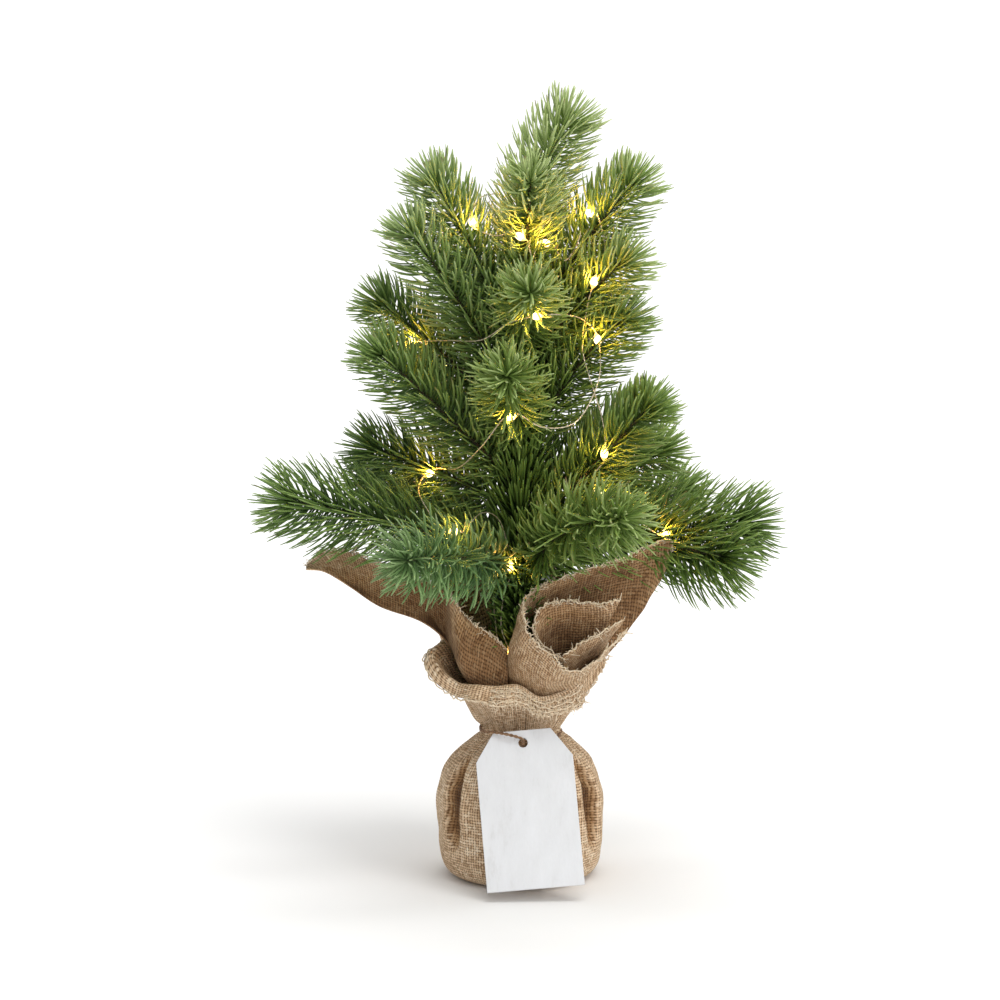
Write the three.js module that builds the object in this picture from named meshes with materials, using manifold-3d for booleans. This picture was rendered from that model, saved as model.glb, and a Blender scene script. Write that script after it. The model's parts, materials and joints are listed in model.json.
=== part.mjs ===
// Artificial tabletop tree. Sprays of moulded needles on wire-cored branches grow from a taped
// trunk, which is cast into a weighted pot. A sheet of burlap wraps the pot, is tied at the neck
// with twine and flares into a collar. A wooden gift tag hangs on the twine, and a battery light
// string is wound through the branches from a battery box hidden in the collar.
//
// Millimetres, +Z up. The origin is the middle of the sack's flat underside, on the trunk's axis.
// The front of the tree, where the tag hangs, faces -Y.

import * as THREE from 'three';
import { mergeVertices } from 'three/addons/utils/BufferGeometryUtils.js';
import Module from 'manifold-3d';

const wasm = await Module();
wasm.setup();

// ---------------------------------------------------------------------------------------------
// Driving dimensions
// ---------------------------------------------------------------------------------------------

const GAP = 0.3; // clearance between pieces that touch

const ROD_RADIUS = 2.5;
const ROD_FOOT = 8.3;
const TRUNK_TOP = 338;
const TAPE_RADIUS = 3.75;
const TAPE_FOOT = 56;

const ROOT_DISTANCE = 6.4; // from the trunk's axis to the middle of a branch's root
const ROOT_RADIUS = 2.1;
const STEM_RADIUS = 1.3;
const SPRAY_RADIUS = 7.5; // the needles' dense core; their tips reach further out
const SPRAY_END = 9; // how far the needles' core runs past the end of the stem
const BRANCH_SIDES = 6;

const CLOTH = 1.8; // thickness of the burlap, with its creases
const NECK_RADIUS = 21;
const NECK_HEIGHT = 84;
const NECK_BORE = 6.5; // the gathered cloth leaves this round the trunk
const SACK_COLUMNS = 60;

const TWINE_RADIUS = 0.9;

const TAG_WIDTH = 54;
const TAG_LENGTH = 88;
const TAG_THICKNESS = 2.6;
const TAG_CORNER = [11, 16]; // how much each top corner is cut away, across and down
const TAG_HOLE_RADIUS = 2.6;
const TAG_HOLE_DROP = 7; // from the top edge to the middle of the hole
const TAG_HINGE = [1, -36, 83.5]; // the middle of the hole, where the twine carries the tag
const TAG_LEAN = 20; // degrees from upright: the sack's belly pushes the bottom edge out
const TAG_ROLL = 5; // degrees in the tag's own plane

const BOX_WALL = 1.6;
const BOX = { width: 33.2, front: 7.4, back: 26.4, foot: 97.5, top: 167.5 };
const CELL_RADIUS = 7.15;
const CELL_LENGTH = 50.5;
const CELL_SPREAD = 7.5; // each cell's axis from the box's middle
const CELL_Y = 16.5;

const WIRE_RADIUS = 0.45;
const BEAD_RADIUS = 2.4;
const BEAD_LENGTH = 7;
const BEAD_BORE = 1.05;

// ---------------------------------------------------------------------------------------------
// Materials
// ---------------------------------------------------------------------------------------------

function paint(color, roughness, metalness = 0) {
  return new THREE.MeshStandardMaterial({ color, roughness, metalness });
}

const MATERIALS = {
  needles: paint(0x3d6b2c, 0.55),
  tape: paint(0x3b3320, 0.8),
  steel: paint(0x8d8f92, 0.4, 0.9),
  cement: paint(0xa9a49a, 0.95),
  pot: paint(0x2c2d2c, 0.6),
  burlap: paint(0xb08d62, 0.95),
  twine: paint(0x7a5230, 0.9),
  tag: paint(0xe9e7e1, 0.7),
  plastic: paint(0x1f3f2a, 0.5),
  cell: paint(0x8c8f93, 0.35, 0.6),
  wire: paint(0xc9b48a, 0.35, 0.8),
  bead: paint(0xffd98a, 0.2),
};

// ---------------------------------------------------------------------------------------------
// Helpers
// ---------------------------------------------------------------------------------------------

const tree = new THREE.Group();
const vector = (point) => new THREE.Vector3(...point);

function add(name, geometry, material, parent = tree) {
  const mesh = new THREE.Mesh(geometry, material);
  mesh.name = name;
  parent.add(mesh);
  return mesh;
}

function toSolid(geometry) {
  const plain = geometry.clone();
  plain.deleteAttribute('normal');
  plain.deleteAttribute('uv');
  const merged = mergeVertices(plain, 1e-4);
  const mesh = new wasm.Mesh({
    numProp: 3,
    vertProperties: new Float32Array(merged.attributes.position.array),
    triVerts: new Uint32Array(merged.index.array),
  });
  mesh.merge();
  return new wasm.Manifold(mesh);
}

function toGeometry(solid) {
  const mesh = solid.getMesh();
  const geometry = new THREE.BufferGeometry();
  geometry.setAttribute('position', new THREE.BufferAttribute(mesh.vertProperties, 3));
  geometry.setIndex(new THREE.BufferAttribute(mesh.triVerts, 1));
  geometry.computeVertexNormals();
  return geometry;
}

function block(low, high) {
  const size = high.map((value, axis) => value - low[axis]);
  const middle = high.map((value, axis) => (value + low[axis]) / 2);
  return new THREE.BoxGeometry(...size).translate(...middle);
}

function cut(geometry, ...tools) {
  const solid = tools.reduce((rest, tool) => rest.subtract(toSolid(tool)), toSolid(geometry));
  return toGeometry(solid);
}

function join(...geometries) {
  const solids = geometries.map(toSolid);
  return toGeometry(solids.reduce((whole, solid) => whole.add(solid)));
}

// Turns a profile of [radius, height] points about +Z.
function turned(profile, sides) {
  const points = profile.map(([radius, height]) => new THREE.Vector2(radius, height));
  return new THREE.LatheGeometry(points, sides).rotateX(Math.PI / 2);
}

// A round bar of the given radius along a curve.
function roundBar(curve, radius, sides, steps) {
  const section = new THREE.Shape();
  for (let side = 0; side < sides; side += 1) {
    const angle = (2 * Math.PI * side) / sides;
    const [x, y] = [radius * Math.cos(angle), radius * Math.sin(angle)];
    if (side === 0) section.moveTo(x, y);
    else section.lineTo(x, y);
  }
  return new THREE.ExtrudeGeometry(section, { steps, extrudePath: curve });
}

// Turns a profile of [radius, length along the curve] points about the curve itself. Across is a
// direction that stays nearly square to the curve all the way.
function turnedAlong(curve, across, profile, sides) {
  const points = profile.map(([radius, along]) => new THREE.Vector2(radius, along));
  const geometry = new THREE.LatheGeometry(points, sides);
  const length = curve.getLength();
  const position = geometry.attributes.position;
  for (let index = 0; index < position.count; index += 1) {
    const along = position.getY(index);
    const share = THREE.MathUtils.clamp(along / length, 0, 1);
    const tangent = curve.getTangentAt(share);
    const up = new THREE.Vector3().crossVectors(across, tangent).normalize();
    const side = new THREE.Vector3().crossVectors(tangent, up);
    const point = curve.getPointAt(share)
      .addScaledVector(tangent, along - share * length)
      .addScaledVector(side, position.getX(index))
      .addScaledVector(up, position.getZ(index));
    position.setXYZ(index, point.x, point.y, point.z);
  }
  geometry.computeVertexNormals();
  return geometry;
}

// ---------------------------------------------------------------------------------------------
// Base and trunk
// ---------------------------------------------------------------------------------------------

function addBaseAndTrunk() {
  const pot = [[0, 1.9], [30, 1.9], [33.5, 5], [41, 53], [39.7, 53], [32.3, 5.4], [29.6, 3.3], [0, 3.3]];
  add('weight_pot', turned(pot, 32), MATERIALS.pot);

  const socket = ROD_RADIUS + GAP;
  const weight = [[0, 3.6], [29.2, 3.6], [31.8, 5.6], [38.2, 47], [socket, 50], [socket, 8], [0, 8]];
  add('base_weight', turned(weight, 32), MATERIALS.cement);

  const rod = [[0, ROD_FOOT], [ROD_RADIUS, ROD_FOOT], [ROD_RADIUS, TRUNK_TOP - 1], [0, TRUNK_TOP]];
  add('trunk_rod', turned(rod, 12), MATERIALS.steel);

  const bore = ROD_RADIUS + GAP;
  const crown = TAPE_RADIUS - 0.6;
  const tape = [
    [TAPE_RADIUS, TAPE_FOOT], [TAPE_RADIUS, TRUNK_TOP - 60], [crown, TRUNK_TOP - 4],
    [bore, TRUNK_TOP - 4], [bore, TAPE_FOOT], [TAPE_RADIUS, TAPE_FOOT],
  ];
  add('trunk_tape', turned(tape, 12), MATERIALS.tape);
}

// ---------------------------------------------------------------------------------------------
// Branches
// ---------------------------------------------------------------------------------------------

// Each branch leaves the trunk at height root, bends towards via and ends at tip. Bare is the share
// of its length with few needles. A fork is a side sprig that leaves the branch part of the way
// along. Core is the radius of its needles' dense core.
const BRANCHES = [
  { name: 'leader', root: 340.8, via: [-2, 2, 392], tip: [34, 4, 436], core: 11 },
  { name: 'crown_front', root: 332, via: [4, -14, 372], tip: [5, -34, 407] },
  { name: 'crown_left', root: 306, via: [-22, -2, 352], tip: [-56, 4, 405] },
  { name: 'crown_right', root: 316, via: [26, 2, 350], tip: [70, 2, 402] },
  { name: 'upper_left', root: 274, via: [-24, -6, 316], tip: [-69, -12, 377] },
  { name: 'upper_right', root: 296, via: [30, -6, 326], tip: [66, -14, 359] },
  { name: 'upper_front', root: 305, via: [2, -36, 324], tip: [5, -76, 341] },
  { name: 'mid_left_back', root: 262, via: [-42, 14, 296], tip: [-89, 26, 332] },
  { name: 'mid_left', root: 228, via: [-38, -10, 262], tip: [-88, -18, 308] },
  { name: 'mid_right', root: 250, via: [24, -4, 288], tip: [65, -8, 327] },
  { name: 'mid_front', root: 254, via: [-6, -42, 278], tip: [-9, -86, 298] },
  {
    name: 'low_right', root: 200, via: [40, -8, 234], tip: [79, -18, 279],
    fork: { from: 0.3, via: [58, 12, 232], tip: [91, 24, 244] },
  },
  { name: 'low_left', root: 212, via: [-46, 6, 232], tip: [-97, 14, 246] },
  { name: 'bottom_left', root: 184, via: [-70, -4, 204], tip: [-142, -9, 218] },
  { name: 'front_left', root: 178, via: [-34, -42, 192], tip: [-71, -88, 194] },
  { name: 'front_right', root: 176, via: [28, -46, 218], tip: [62, -86, 215] },
  {
    name: 'bottom_right', root: 183, via: [76, 4, 196], tip: [139, 12, 201],
    fork: { from: 0.5, via: [96, -8, 186], tip: [127, -14, 183] },
  },
  { name: 'back_crown', root: 322, via: [4, 22, 356], tip: [12, 54, 388] },
  { name: 'back_left_upper', root: 288, via: [-16, 34, 318], tip: [-38, 74, 346] },
  { name: 'back_right_upper', root: 270, via: [22, 40, 300], tip: [46, 84, 326] },
  { name: 'back_middle', root: 246, via: [-2, 60, 268], tip: [-4, 118, 280] },
  { name: 'back_left', root: 236, via: [-32, 44, 262], tip: [-64, 88, 284] },
  { name: 'back_right', root: 220, via: [44, 44, 244], tip: [84, 84, 262] },
  { name: 'back_left_low', root: 190, via: [-54, 46, 208], tip: [-100, 84, 218] },
  { name: 'back_right_low', root: 188, via: [58, 44, 204], tip: [106, 78, 212] },
];

// The direction in plan that a branch leaves in.
function heading({ via, tip }) {
  const aim = Math.hypot(via[0], via[1]) > 4 ? via : tip;
  return new THREE.Vector3(aim[0], aim[1], 0).normalize();
}

function rootOf(branch) {
  if (branch.root > TRUNK_TOP) return new THREE.Vector3(0, 0, branch.root);
  return heading(branch).multiplyScalar(ROOT_DISTANCE).setZ(branch.root);
}

function sprayProfile(length, core, bare) {
  const start = length * bare;
  const end = length + SPRAY_END;
  return [
    [0, -ROOT_RADIUS], [ROOT_RADIUS * 0.87, -ROOT_RADIUS / 2], [ROOT_RADIUS * 0.87, ROOT_RADIUS / 2],
    [STEM_RADIUS, ROOT_RADIUS], [STEM_RADIUS, start], [core * 0.75, start + 14],
    [core, (start + end) / 2], [core * 0.85, end - 14], [core * 0.45, end - 3], [0, end],
  ];
}

function addBranches() {
  for (const branch of BRANCHES) {
    const { name, via, tip, fork, core = SPRAY_RADIUS, bare = 0.24 } = branch;
    const across = new THREE.Vector3().crossVectors(heading(branch), new THREE.Vector3(0, 0, 1));
    const curve = new THREE.QuadraticBezierCurve3(rootOf(branch), vector(via), vector(tip));
    const profile = sprayProfile(curve.getLength(), core, bare);
    let geometry = turnedAlong(curve, across, profile, BRANCH_SIDES);
    if (fork) {
      const start = curve.getPointAt(fork.from);
      const side = new THREE.QuadraticBezierCurve3(start, vector(fork.via), vector(fork.tip));
      const sideProfile = sprayProfile(side.getLength(), core * 0.9, 0.2);
      geometry = join(geometry, turnedAlong(side, across, sideProfile, BRANCH_SIDES));
    }
    add(`branch_${name}`, geometry, MATERIALS.needles);
  }
}

// ---------------------------------------------------------------------------------------------
// Burlap sack and collar
// ---------------------------------------------------------------------------------------------

// The outside of the sack up to its neck, as [radius, height].
const BAG = [
  [0, 0], [34, 0], [43.5, 7], [46.5, 28], [46, 50], [38, 68], [27, 78],
  [NECK_RADIUS, NECK_HEIGHT - 2], [NECK_RADIUS, NECK_HEIGHT + 2.5],
];
const BAG_INSIDE = [
  [0, 1.5], [33, 1.5], [42, 8.5], [44.6, 28], [44, 49.5], [36, 66], [24, 75], [NECK_BORE, 79],
];

// The collar above the neck at each azimuth, in degrees from +X: the cloth opens out at the waist,
// climbs to its crest and ends at its rim. Each is [radius, height].
const COLLAR = [
  { azimuth: 0, waist: [27, 94], crest: [43, 124], rim: [54, 144] },
  { azimuth: 30, waist: [32, 94], crest: [44, 128], rim: [56, 150] },
  { azimuth: 60, waist: [35, 93], crest: [44, 130], rim: [57, 162] },
  { azimuth: 90, waist: [34, 93], crest: [43, 134], rim: [62, 175] },
  { azimuth: 120, waist: [35, 93], crest: [44, 132], rim: [58, 167] },
  { azimuth: 150, waist: [34, 94], crest: [52, 132], rim: [68, 160] },
  { azimuth: 172, waist: [28, 94], crest: [58, 138], rim: [96, 168] },
  { azimuth: 186, waist: [26, 94], crest: [60, 139], rim: [121, 177] },
  { azimuth: 198, waist: [25, 93], crest: [50, 134], rim: [70, 153] },
  { azimuth: 205, waist: [25, 93], crest: [50, 128], rim: [58, 130] },
  { azimuth: 213, waist: [25, 92], crest: [50, 122], rim: [57, 118] },
  { azimuth: 221, waist: [25, 92], crest: [48, 117], rim: [55, 112] },
  { azimuth: 230, waist: [25, 92], crest: [44, 115], rim: [51, 109] },
  { azimuth: 242, waist: [25, 91], crest: [39, 115], rim: [46, 108] },
  { azimuth: 255, waist: [25, 91], crest: [36, 115], rim: [43, 106] },
  { azimuth: 270, waist: [25, 91], crest: [36, 114], rim: [43, 105] },
  { azimuth: 288, waist: [25, 91], crest: [37, 111], rim: [44, 103] },
  { azimuth: 303, waist: [26, 92], crest: [40, 112], rim: [47, 103] },
  { azimuth: 317, waist: [26, 93], crest: [44, 118], rim: [50, 109] },
  { azimuth: 330, waist: [27, 93], crest: [46, 125], rim: [51, 119] },
  { azimuth: 343, waist: [27, 94], crest: [44, 127], rim: [52, 134] },
];

// Smoothly joins a list of values that runs once round the sack.
function aroundSack(azimuth, read) {
  const count = COLLAR.length;
  const turn = ((azimuth % 360) + 360) % 360;
  const next = COLLAR.findIndex((row) => row.azimuth > turn);
  const from = (next === -1 ? count : next) - 1;
  const row = (offset) => COLLAR[(from + offset + count) % count];
  const span = (row(1).azimuth - row(0).azimuth + 360) % 360;
  const share = (turn - row(0).azimuth) / span;
  const eased = share * share * (3 - 2 * share);
  return THREE.MathUtils.lerp(read(row(0)), read(row(1)), eased);
}

// The collar's outside at one azimuth, from the neck to the rim.
function collarCurve(azimuth) {
  const at = (part) => new THREE.Vector2(
    aroundSack(azimuth, (row) => row[part][0]),
    aroundSack(azimuth, (row) => row[part][1]),
  );
  return new THREE.SplineCurve([at('waist'), at('crest'), at('rim')]);
}

// The whole closed section of the sack at one azimuth: up its outside, over the rim, down its inside.
function sackSection(azimuth) {
  const collar = collarCurve(azimuth);
  const outside = collar.getPoints(6);
  const inside = outside.map((point, index) => {
    const tangent = collar.getTangent(index / 6);
    return new THREE.Vector2(point.x - CLOTH * tangent.y, point.y + CLOTH * tangent.x);
  });
  inside[0].set(outside[0].x - 2.6, outside[0].y + 1.6);
  const points = [...BAG.map((pair) => new THREE.Vector2(...pair)), ...outside];
  points.push(...inside.reverse(), new THREE.Vector2(NECK_BORE, 90));
  points.push(...BAG_INSIDE.map((pair) => new THREE.Vector2(...pair)).reverse());
  return points;
}

function addSack() {
  const section = sackSection(0);
  const geometry = new THREE.LatheGeometry(section, SACK_COLUMNS);
  const position = geometry.attributes.position;
  for (let column = 0; column <= SACK_COLUMNS; column += 1) {
    const azimuth = (360 * column) / SACK_COLUMNS;
    const angle = THREE.MathUtils.degToRad(azimuth);
    sackSection(azimuth).forEach((point, row) => {
      const index = column * section.length + row;
      position.setXYZ(index, point.x * Math.cos(angle), point.x * Math.sin(angle), point.y);
    });
  }
  geometry.computeVertexNormals();
  add('burlap_sack', geometry, MATERIALS.burlap);
}

// ---------------------------------------------------------------------------------------------
// The fold of the collar that stands up on the right, inside the sack's rim
// ---------------------------------------------------------------------------------------------

// The fold's rim at each azimuth, in degrees from +X, as [radius, height].
const FOLD = [
  { azimuth: 262, rim: [33, 156] },
  { azimuth: 276, rim: [39, 168] },
  { azimuth: 294, rim: [47, 176] },
  { azimuth: 318, rim: [60, 186] },
  { azimuth: 340, rim: [85, 193] },
  { azimuth: 356, rim: [66, 176] },
  { azimuth: 372, rim: [52, 164] },
];
const FOLD_FOOT = [16.5, 97];
const FOLD_COLUMNS = 18;
const FOLD_ROWS = 7;

function foldRim(azimuth) {
  const next = Math.max(1, FOLD.findIndex((row) => row.azimuth >= azimuth));
  const [low, high] = [FOLD[next - 1], FOLD[next]];
  const share = (azimuth - low.azimuth) / (high.azimuth - low.azimuth);
  const eased = share * share * (3 - 2 * share);
  return [0, 1].map((axis) => THREE.MathUtils.lerp(low.rim[axis], high.rim[axis], eased));
}

// A sheet with thickness: a flat block whose length runs round the trunk and whose height climbs
// from the fold's foot to its rim.
function addFold() {
  const [first, last] = [FOLD[0].azimuth, FOLD[FOLD.length - 1].azimuth];
  const geometry = new THREE.BoxGeometry(1, 1, 1, FOLD_COLUMNS, FOLD_ROWS, 1);
  const position = geometry.attributes.position;
  for (let index = 0; index < position.count; index += 1) {
    const azimuth = THREE.MathUtils.lerp(first, last, position.getX(index) + 0.5);
    const [rimRadius, rimHeight] = foldRim(azimuth);
    const foot = new THREE.Vector2(...FOLD_FOOT);
    const rim = new THREE.Vector2(rimRadius, rimHeight);
    const belly = foot.clone().lerp(rim, 0.45).add(new THREE.Vector2(-3, 4));
    const profile = new THREE.QuadraticBezierCurve(foot, belly, rim);
    const climb = position.getY(index) + 0.5;
    const tangent = profile.getTangent(climb);
    const outward = CLOTH * position.getZ(index);
    const point = profile.getPoint(climb).add(new THREE.Vector2(tangent.y, -tangent.x).multiplyScalar(outward));
    const angle = THREE.MathUtils.degToRad(azimuth);
    position.setXYZ(index, point.x * Math.cos(angle), point.x * Math.sin(angle), point.y);
  }
  geometry.computeVertexNormals();
  add('burlap_fold', geometry, MATERIALS.burlap);
}

// ---------------------------------------------------------------------------------------------
// Neck twine and gift tag
// ---------------------------------------------------------------------------------------------

// The twine starts behind the neck, comes round its left side over the tag's shoulder, goes down
// through the tag's hole from the front, and returns round the right side.
const TWINE = [
  [6, 21.7, 85.4], [-2, 22.6, 85.4], [-12, 19.2, 85.4], [-20.4, 9.6, 85.4], [-22.6, -3, 85.8],
  [-22.6, -16, 87], [-22.2, -26, 88.6], [-19.6, -34.5, 89.6], [-13, -38, 89.8], [-5, -39, 88.4],
  [1, -37.9, 85.8], [1, -34.1, 81.2], [8, -30.4, 79.8], [17, -21, 80.6], [22.6, -5, 82.8],
  [20.4, 9.6, 83.2], [12, 19.2, 83.2], [2, 22.6, 83.2], [-6, 21.8, 83.2],
];
const TWINE_STEPS = 60;

function addTwine() {
  const curve = new THREE.CatmullRomCurve3(TWINE.map(vector), false, 'centripetal');
  add('neck_twine', roundBar(curve, TWINE_RADIUS, 8, TWINE_STEPS), MATERIALS.twine);
}

// The tag's own frame has its origin in the hole, X to the right and Y up the tag.
function addTag() {
  const [half, top, foot] = [TAG_WIDTH / 2, TAG_HOLE_DROP, TAG_HOLE_DROP - TAG_LENGTH];
  const outline = new THREE.Shape([
    [-half, foot], [half, foot], [half, top - TAG_CORNER[1]], [half - TAG_CORNER[0], top],
    [TAG_CORNER[0] - half, top], [-half, top - TAG_CORNER[1]],
  ].map((pair) => new THREE.Vector2(...pair)));
  outline.holes.push(new THREE.Path().absarc(0, 0, TAG_HOLE_RADIUS, 0, 2 * Math.PI));
  const geometry = new THREE.ExtrudeGeometry(outline, {
    depth: TAG_THICKNESS, bevelEnabled: false, curveSegments: 6,
  });
  geometry.translate(0, 0, -TAG_THICKNESS / 2);
  const tag = add('tag', geometry, MATERIALS.tag);
  tag.rotation.order = 'XYZ';
  tag.rotation.set(THREE.MathUtils.degToRad(90 - TAG_LEAN), 0, THREE.MathUtils.degToRad(TAG_ROLL));
  tag.position.set(...TAG_HINGE);
}

// ---------------------------------------------------------------------------------------------
// Battery box, behind the trunk in the collar
// ---------------------------------------------------------------------------------------------

const HALF = BOX.width / 2;
const BAY_FOOT = BOX.foot + 2;
const BAY_TOP = BAY_FOOT + 56.5;
const POCKET_FOOT = BAY_TOP + BOX_WALL;
const LID = { half: HALF - 1, front: BOX.back - 2.1, back: BOX.back - 0.8 };
const SWITCH_HEIGHT = POCKET_FOOT + 3.2;
const SWITCH_TRAVEL = 3;
const SWITCH_Y = 16;

function batteryCase() {
  const inner = HALF - BOX_WALL;
  const deep = BOX.front + BOX_WALL;
  const bay = block([-inner, deep, BAY_FOOT], [inner, BOX.back + 1, BAY_TOP]);
  const pocket = block([-inner, deep, POCKET_FOOT], [inner, BOX.back + 1, BOX.top - BOX_WALL]);
  const groove = block([-LID.half - GAP, LID.front - GAP, BAY_FOOT], [LID.half + GAP, LID.back + GAP, BOX.top + 1]);
  const mouth = block([-inner, LID.back, BAY_FOOT], [inner, BOX.back + 1, BOX.top + 1]);
  const slot = block(
    [inner - 1, SWITCH_Y - 2, SWITCH_HEIGHT - 2],
    [HALF + 1, SWITCH_Y + 2, SWITCH_HEIGHT + SWITCH_TRAVEL + 2],
  );
  const exit = new THREE.CylinderGeometry(1, 1, 8, 10).rotateX(Math.PI / 2).translate(-8, 12, BOX.top);
  const shell = block([-HALF, BOX.front, BOX.foot], [HALF, BOX.back, BOX.top]);
  return cut(shell, bay, pocket, groove, mouth, slot, exit);
}

// A sheet contact across the bay with one conical spring on it.
function contact(height, springX, direction) {
  const plate = block([-14.4, CELL_Y - 6.5, height], [14.4, CELL_Y + 6.5, height + 0.4]);
  const turns = 2.5;
  const points = [];
  for (let step = 0; step <= 20; step += 1) {
    const share = step / 20;
    const angle = 2 * Math.PI * turns * share;
    const radius = 4.6 - 2.4 * share;
    const rise = height + 0.2 + direction * (0.2 + 3.2 * share);
    points.push(new THREE.Vector3(springX + radius * Math.cos(angle), CELL_Y + radius * Math.sin(angle), rise));
  }
  return join(plate, roundBar(new THREE.CatmullRomCurve3(points), 0.4, 5, 36));
}

// A cell with its raised end at the top. Flipped, the raised end is at the foot.
function cell(x, foot, flipped) {
  const nub = 1.2;
  const profile = [
    [0, 0], [CELL_RADIUS, 0], [CELL_RADIUS, CELL_LENGTH - nub], [2.7, CELL_LENGTH - nub],
    [2.7, CELL_LENGTH], [0, CELL_LENGTH],
  ];
  const geometry = turned(profile, 16);
  if (flipped) geometry.rotateX(Math.PI).translate(0, 0, CELL_LENGTH);
  return geometry.translate(x, CELL_Y, foot);
}

function addBatteryBox() {
  add('battery_case', batteryCase(), MATERIALS.plastic);

  const lid = block([-LID.half, LID.front, BAY_FOOT + GAP], [LID.half, LID.back, BOX.top]);
  const grip = block([-7, LID.back - 0.2, BOX.top - 14], [7, LID.back + 0.9, BOX.top - 11]);
  add('battery_lid', join(lid, grip), MATERIALS.plastic);

  const stem = block([HALF - 3, SWITCH_Y - 1.7, SWITCH_HEIGHT - 1.5], [HALF + 1, SWITCH_Y + 1.7, SWITCH_HEIGHT + 1.5]);
  const cap = block([HALF + GAP, SWITCH_Y - 3, SWITCH_HEIGHT - 3], [HALF + 2.4, SWITCH_Y + 3, SWITCH_HEIGHT + 3]);
  add('switch_knob', join(stem, cap), MATERIALS.plastic);

  add('contact_bottom', contact(BAY_FOOT + GAP, -CELL_SPREAD, 1), MATERIALS.steel);
  add('contact_top', contact(BAY_TOP - GAP - 0.4, CELL_SPREAD, -1), MATERIALS.steel);
  add('cell_left', cell(-CELL_SPREAD, BAY_FOOT + 5, false), MATERIALS.cell);
  add('cell_right', cell(CELL_SPREAD, BAY_FOOT + 1, true), MATERIALS.cell);
}

// ---------------------------------------------------------------------------------------------
// Light string
// ---------------------------------------------------------------------------------------------

// The wire's route from the battery box, through each bead in turn, to the last one.
const STRING = [
  { at: [-8, 12, 158] },
  { at: [-8, 12, 166] },
  { at: [-10, 8, 174] },
  { at: [-15, -2, 160] },
  { at: [-14, -12, 144] },
  { bead: 'led_01', at: [-9, -20, 132] },
  { at: [-11, -25, 145] },
  { at: [-9, -27, 161] },
  { bead: 'led_02', at: [-6, -17, 180] },
  { at: [-12, -19, 206] },
  { at: [-22, -30, 212] },
  { bead: 'led_03', at: [-37, -46, 204] },
  { at: [-50, -36, 212] },
  { at: [-57, -18, 222] },
  { bead: 'led_04', at: [-51, -5, 231] },
  { at: [-35, -22, 236] },
  { at: [-22, -40, 250] },
  { bead: 'led_05', at: [-6, -54, 268] },
  { at: [12, -52, 262] },
  { at: [30, -40, 264] },
  { at: [42, -28, 284] },
  { bead: 'led_06', at: [42, -17, 307] },
  { at: [32, -34, 320] },
  { at: [22, -50, 323] },
  { bead: 'led_07', at: [8, -60, 323] },
  { at: [-8, -52, 318] },
  { at: [-22, -34, 308] },
  { at: [-40, -14, 306] },
  { bead: 'led_08', at: [-61, 4, 304] },
  { at: [-76, 20, 304] },
  { at: [-66, 52, 300] },
  { bead: 'led_09', at: [-44, 66, 285] },
  { at: [-26, 60, 268] },
  { at: [4, 56, 240] },
  { at: [34, 52, 222] },
  { bead: 'led_10', at: [62, 46, 214] },
  { at: [80, 30, 214] },
  { at: [92, 6, 208] },
  { bead: 'led_11', at: [81, -6, 197] },
  { at: [64, -12, 206] },
  { bead: 'led_12', at: [43, -10, 222] },
  { at: [40, -20, 232] },
  { bead: 'led_13', at: [46, -21, 244] },
  { at: [44, -22, 266] },
  { at: [34, -18, 300] },
  { at: [36, -20, 324] },
  { bead: 'led_14', at: [40, -19, 339] },
  { at: [46, -14, 356] },
  { bead: 'led_15', at: [38, -6, 376] },
  { at: [32, -8, 362] },
  { at: [24, -12, 350] },
  { bead: 'led_16', at: [13, -17, 360] },
  { at: [6, -24, 352] },
  { bead: 'led_17', at: [-1, -24, 364] },
  { at: [-14, -18, 364] },
  { bead: 'led_18', at: [-27, -9, 371] },
  { at: [-23, 0, 384] },
  { at: [-14, 12, 386] },
  { at: [-8, 28, 384] },
  { bead: 'led_19', at: [2, 44, 388] },
];

// A smooth curve whose equal steps fall on its own points, so that each bead gets a straight piece.
class RouteCurve extends THREE.CatmullRomCurve3 {
  getPointAt(share, target) {
    return this.getPoint(share, target);
  }

  getTangentAt(share, target) {
    return this.getTangent(share, target);
  }
}

const BEAD_REACH = 5; // the wire is straight this far to each side of a bead's middle
const STEPS_PER_POINT = 2;

function addLightString() {
  const route = STRING.map((stop) => vector(stop.at));
  const points = [];
  STRING.forEach((stop, index) => {
    const here = route[index];
    if (!stop.bead) {
      points.push(here);
      return;
    }
    const after = route[Math.min(index + 1, route.length - 1)];
    const along = after.clone().sub(route[index - 1]).normalize();
    for (const side of [-1, 0, 1]) points.push(here.clone().addScaledVector(along, side * BEAD_REACH));
    addBead(stop.bead, here, along);
  });
  const curve = new RouteCurve(points, false, 'centripetal');
  const steps = STEPS_PER_POINT * (points.length - 1);
  add('light_wire', roundBar(curve, WIRE_RADIUS, 5, steps), MATERIALS.wire);
}

// A drop of clear resin round the wire and its diode, with the wire's bore through it.
function addBead(name, middle, along) {
  const half = BEAD_LENGTH / 2;
  const profile = [
    [BEAD_BORE, -half], [BEAD_RADIUS * 0.72, -half * 0.7], [BEAD_RADIUS, -half * 0.1],
    [BEAD_RADIUS * 0.8, half * 0.6], [BEAD_BORE, half], [BEAD_BORE, -half],
  ];
  const bead = add(name, turned(profile, 8), MATERIALS.bead);
  bead.position.copy(middle);
  bead.quaternion.setFromUnitVectors(new THREE.Vector3(0, 0, 1), along);
}

addBaseAndTrunk();
addBranches();
addSack();
addFold();
addTwine();
addTag();
addBatteryBox();
addLightString();

export default tree;
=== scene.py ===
"""Looks of the artificial tabletop tree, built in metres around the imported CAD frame.

Needle sprays, the burlap wrap, twine, tag and light string are modelled here as what they are.
The trunk, the weight and the battery box keep their CAD shapes and get better materials.
"""

import json
import math

import bmesh
import bpy
import numpy as np
from mathutils import Matrix, Vector, noise


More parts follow.
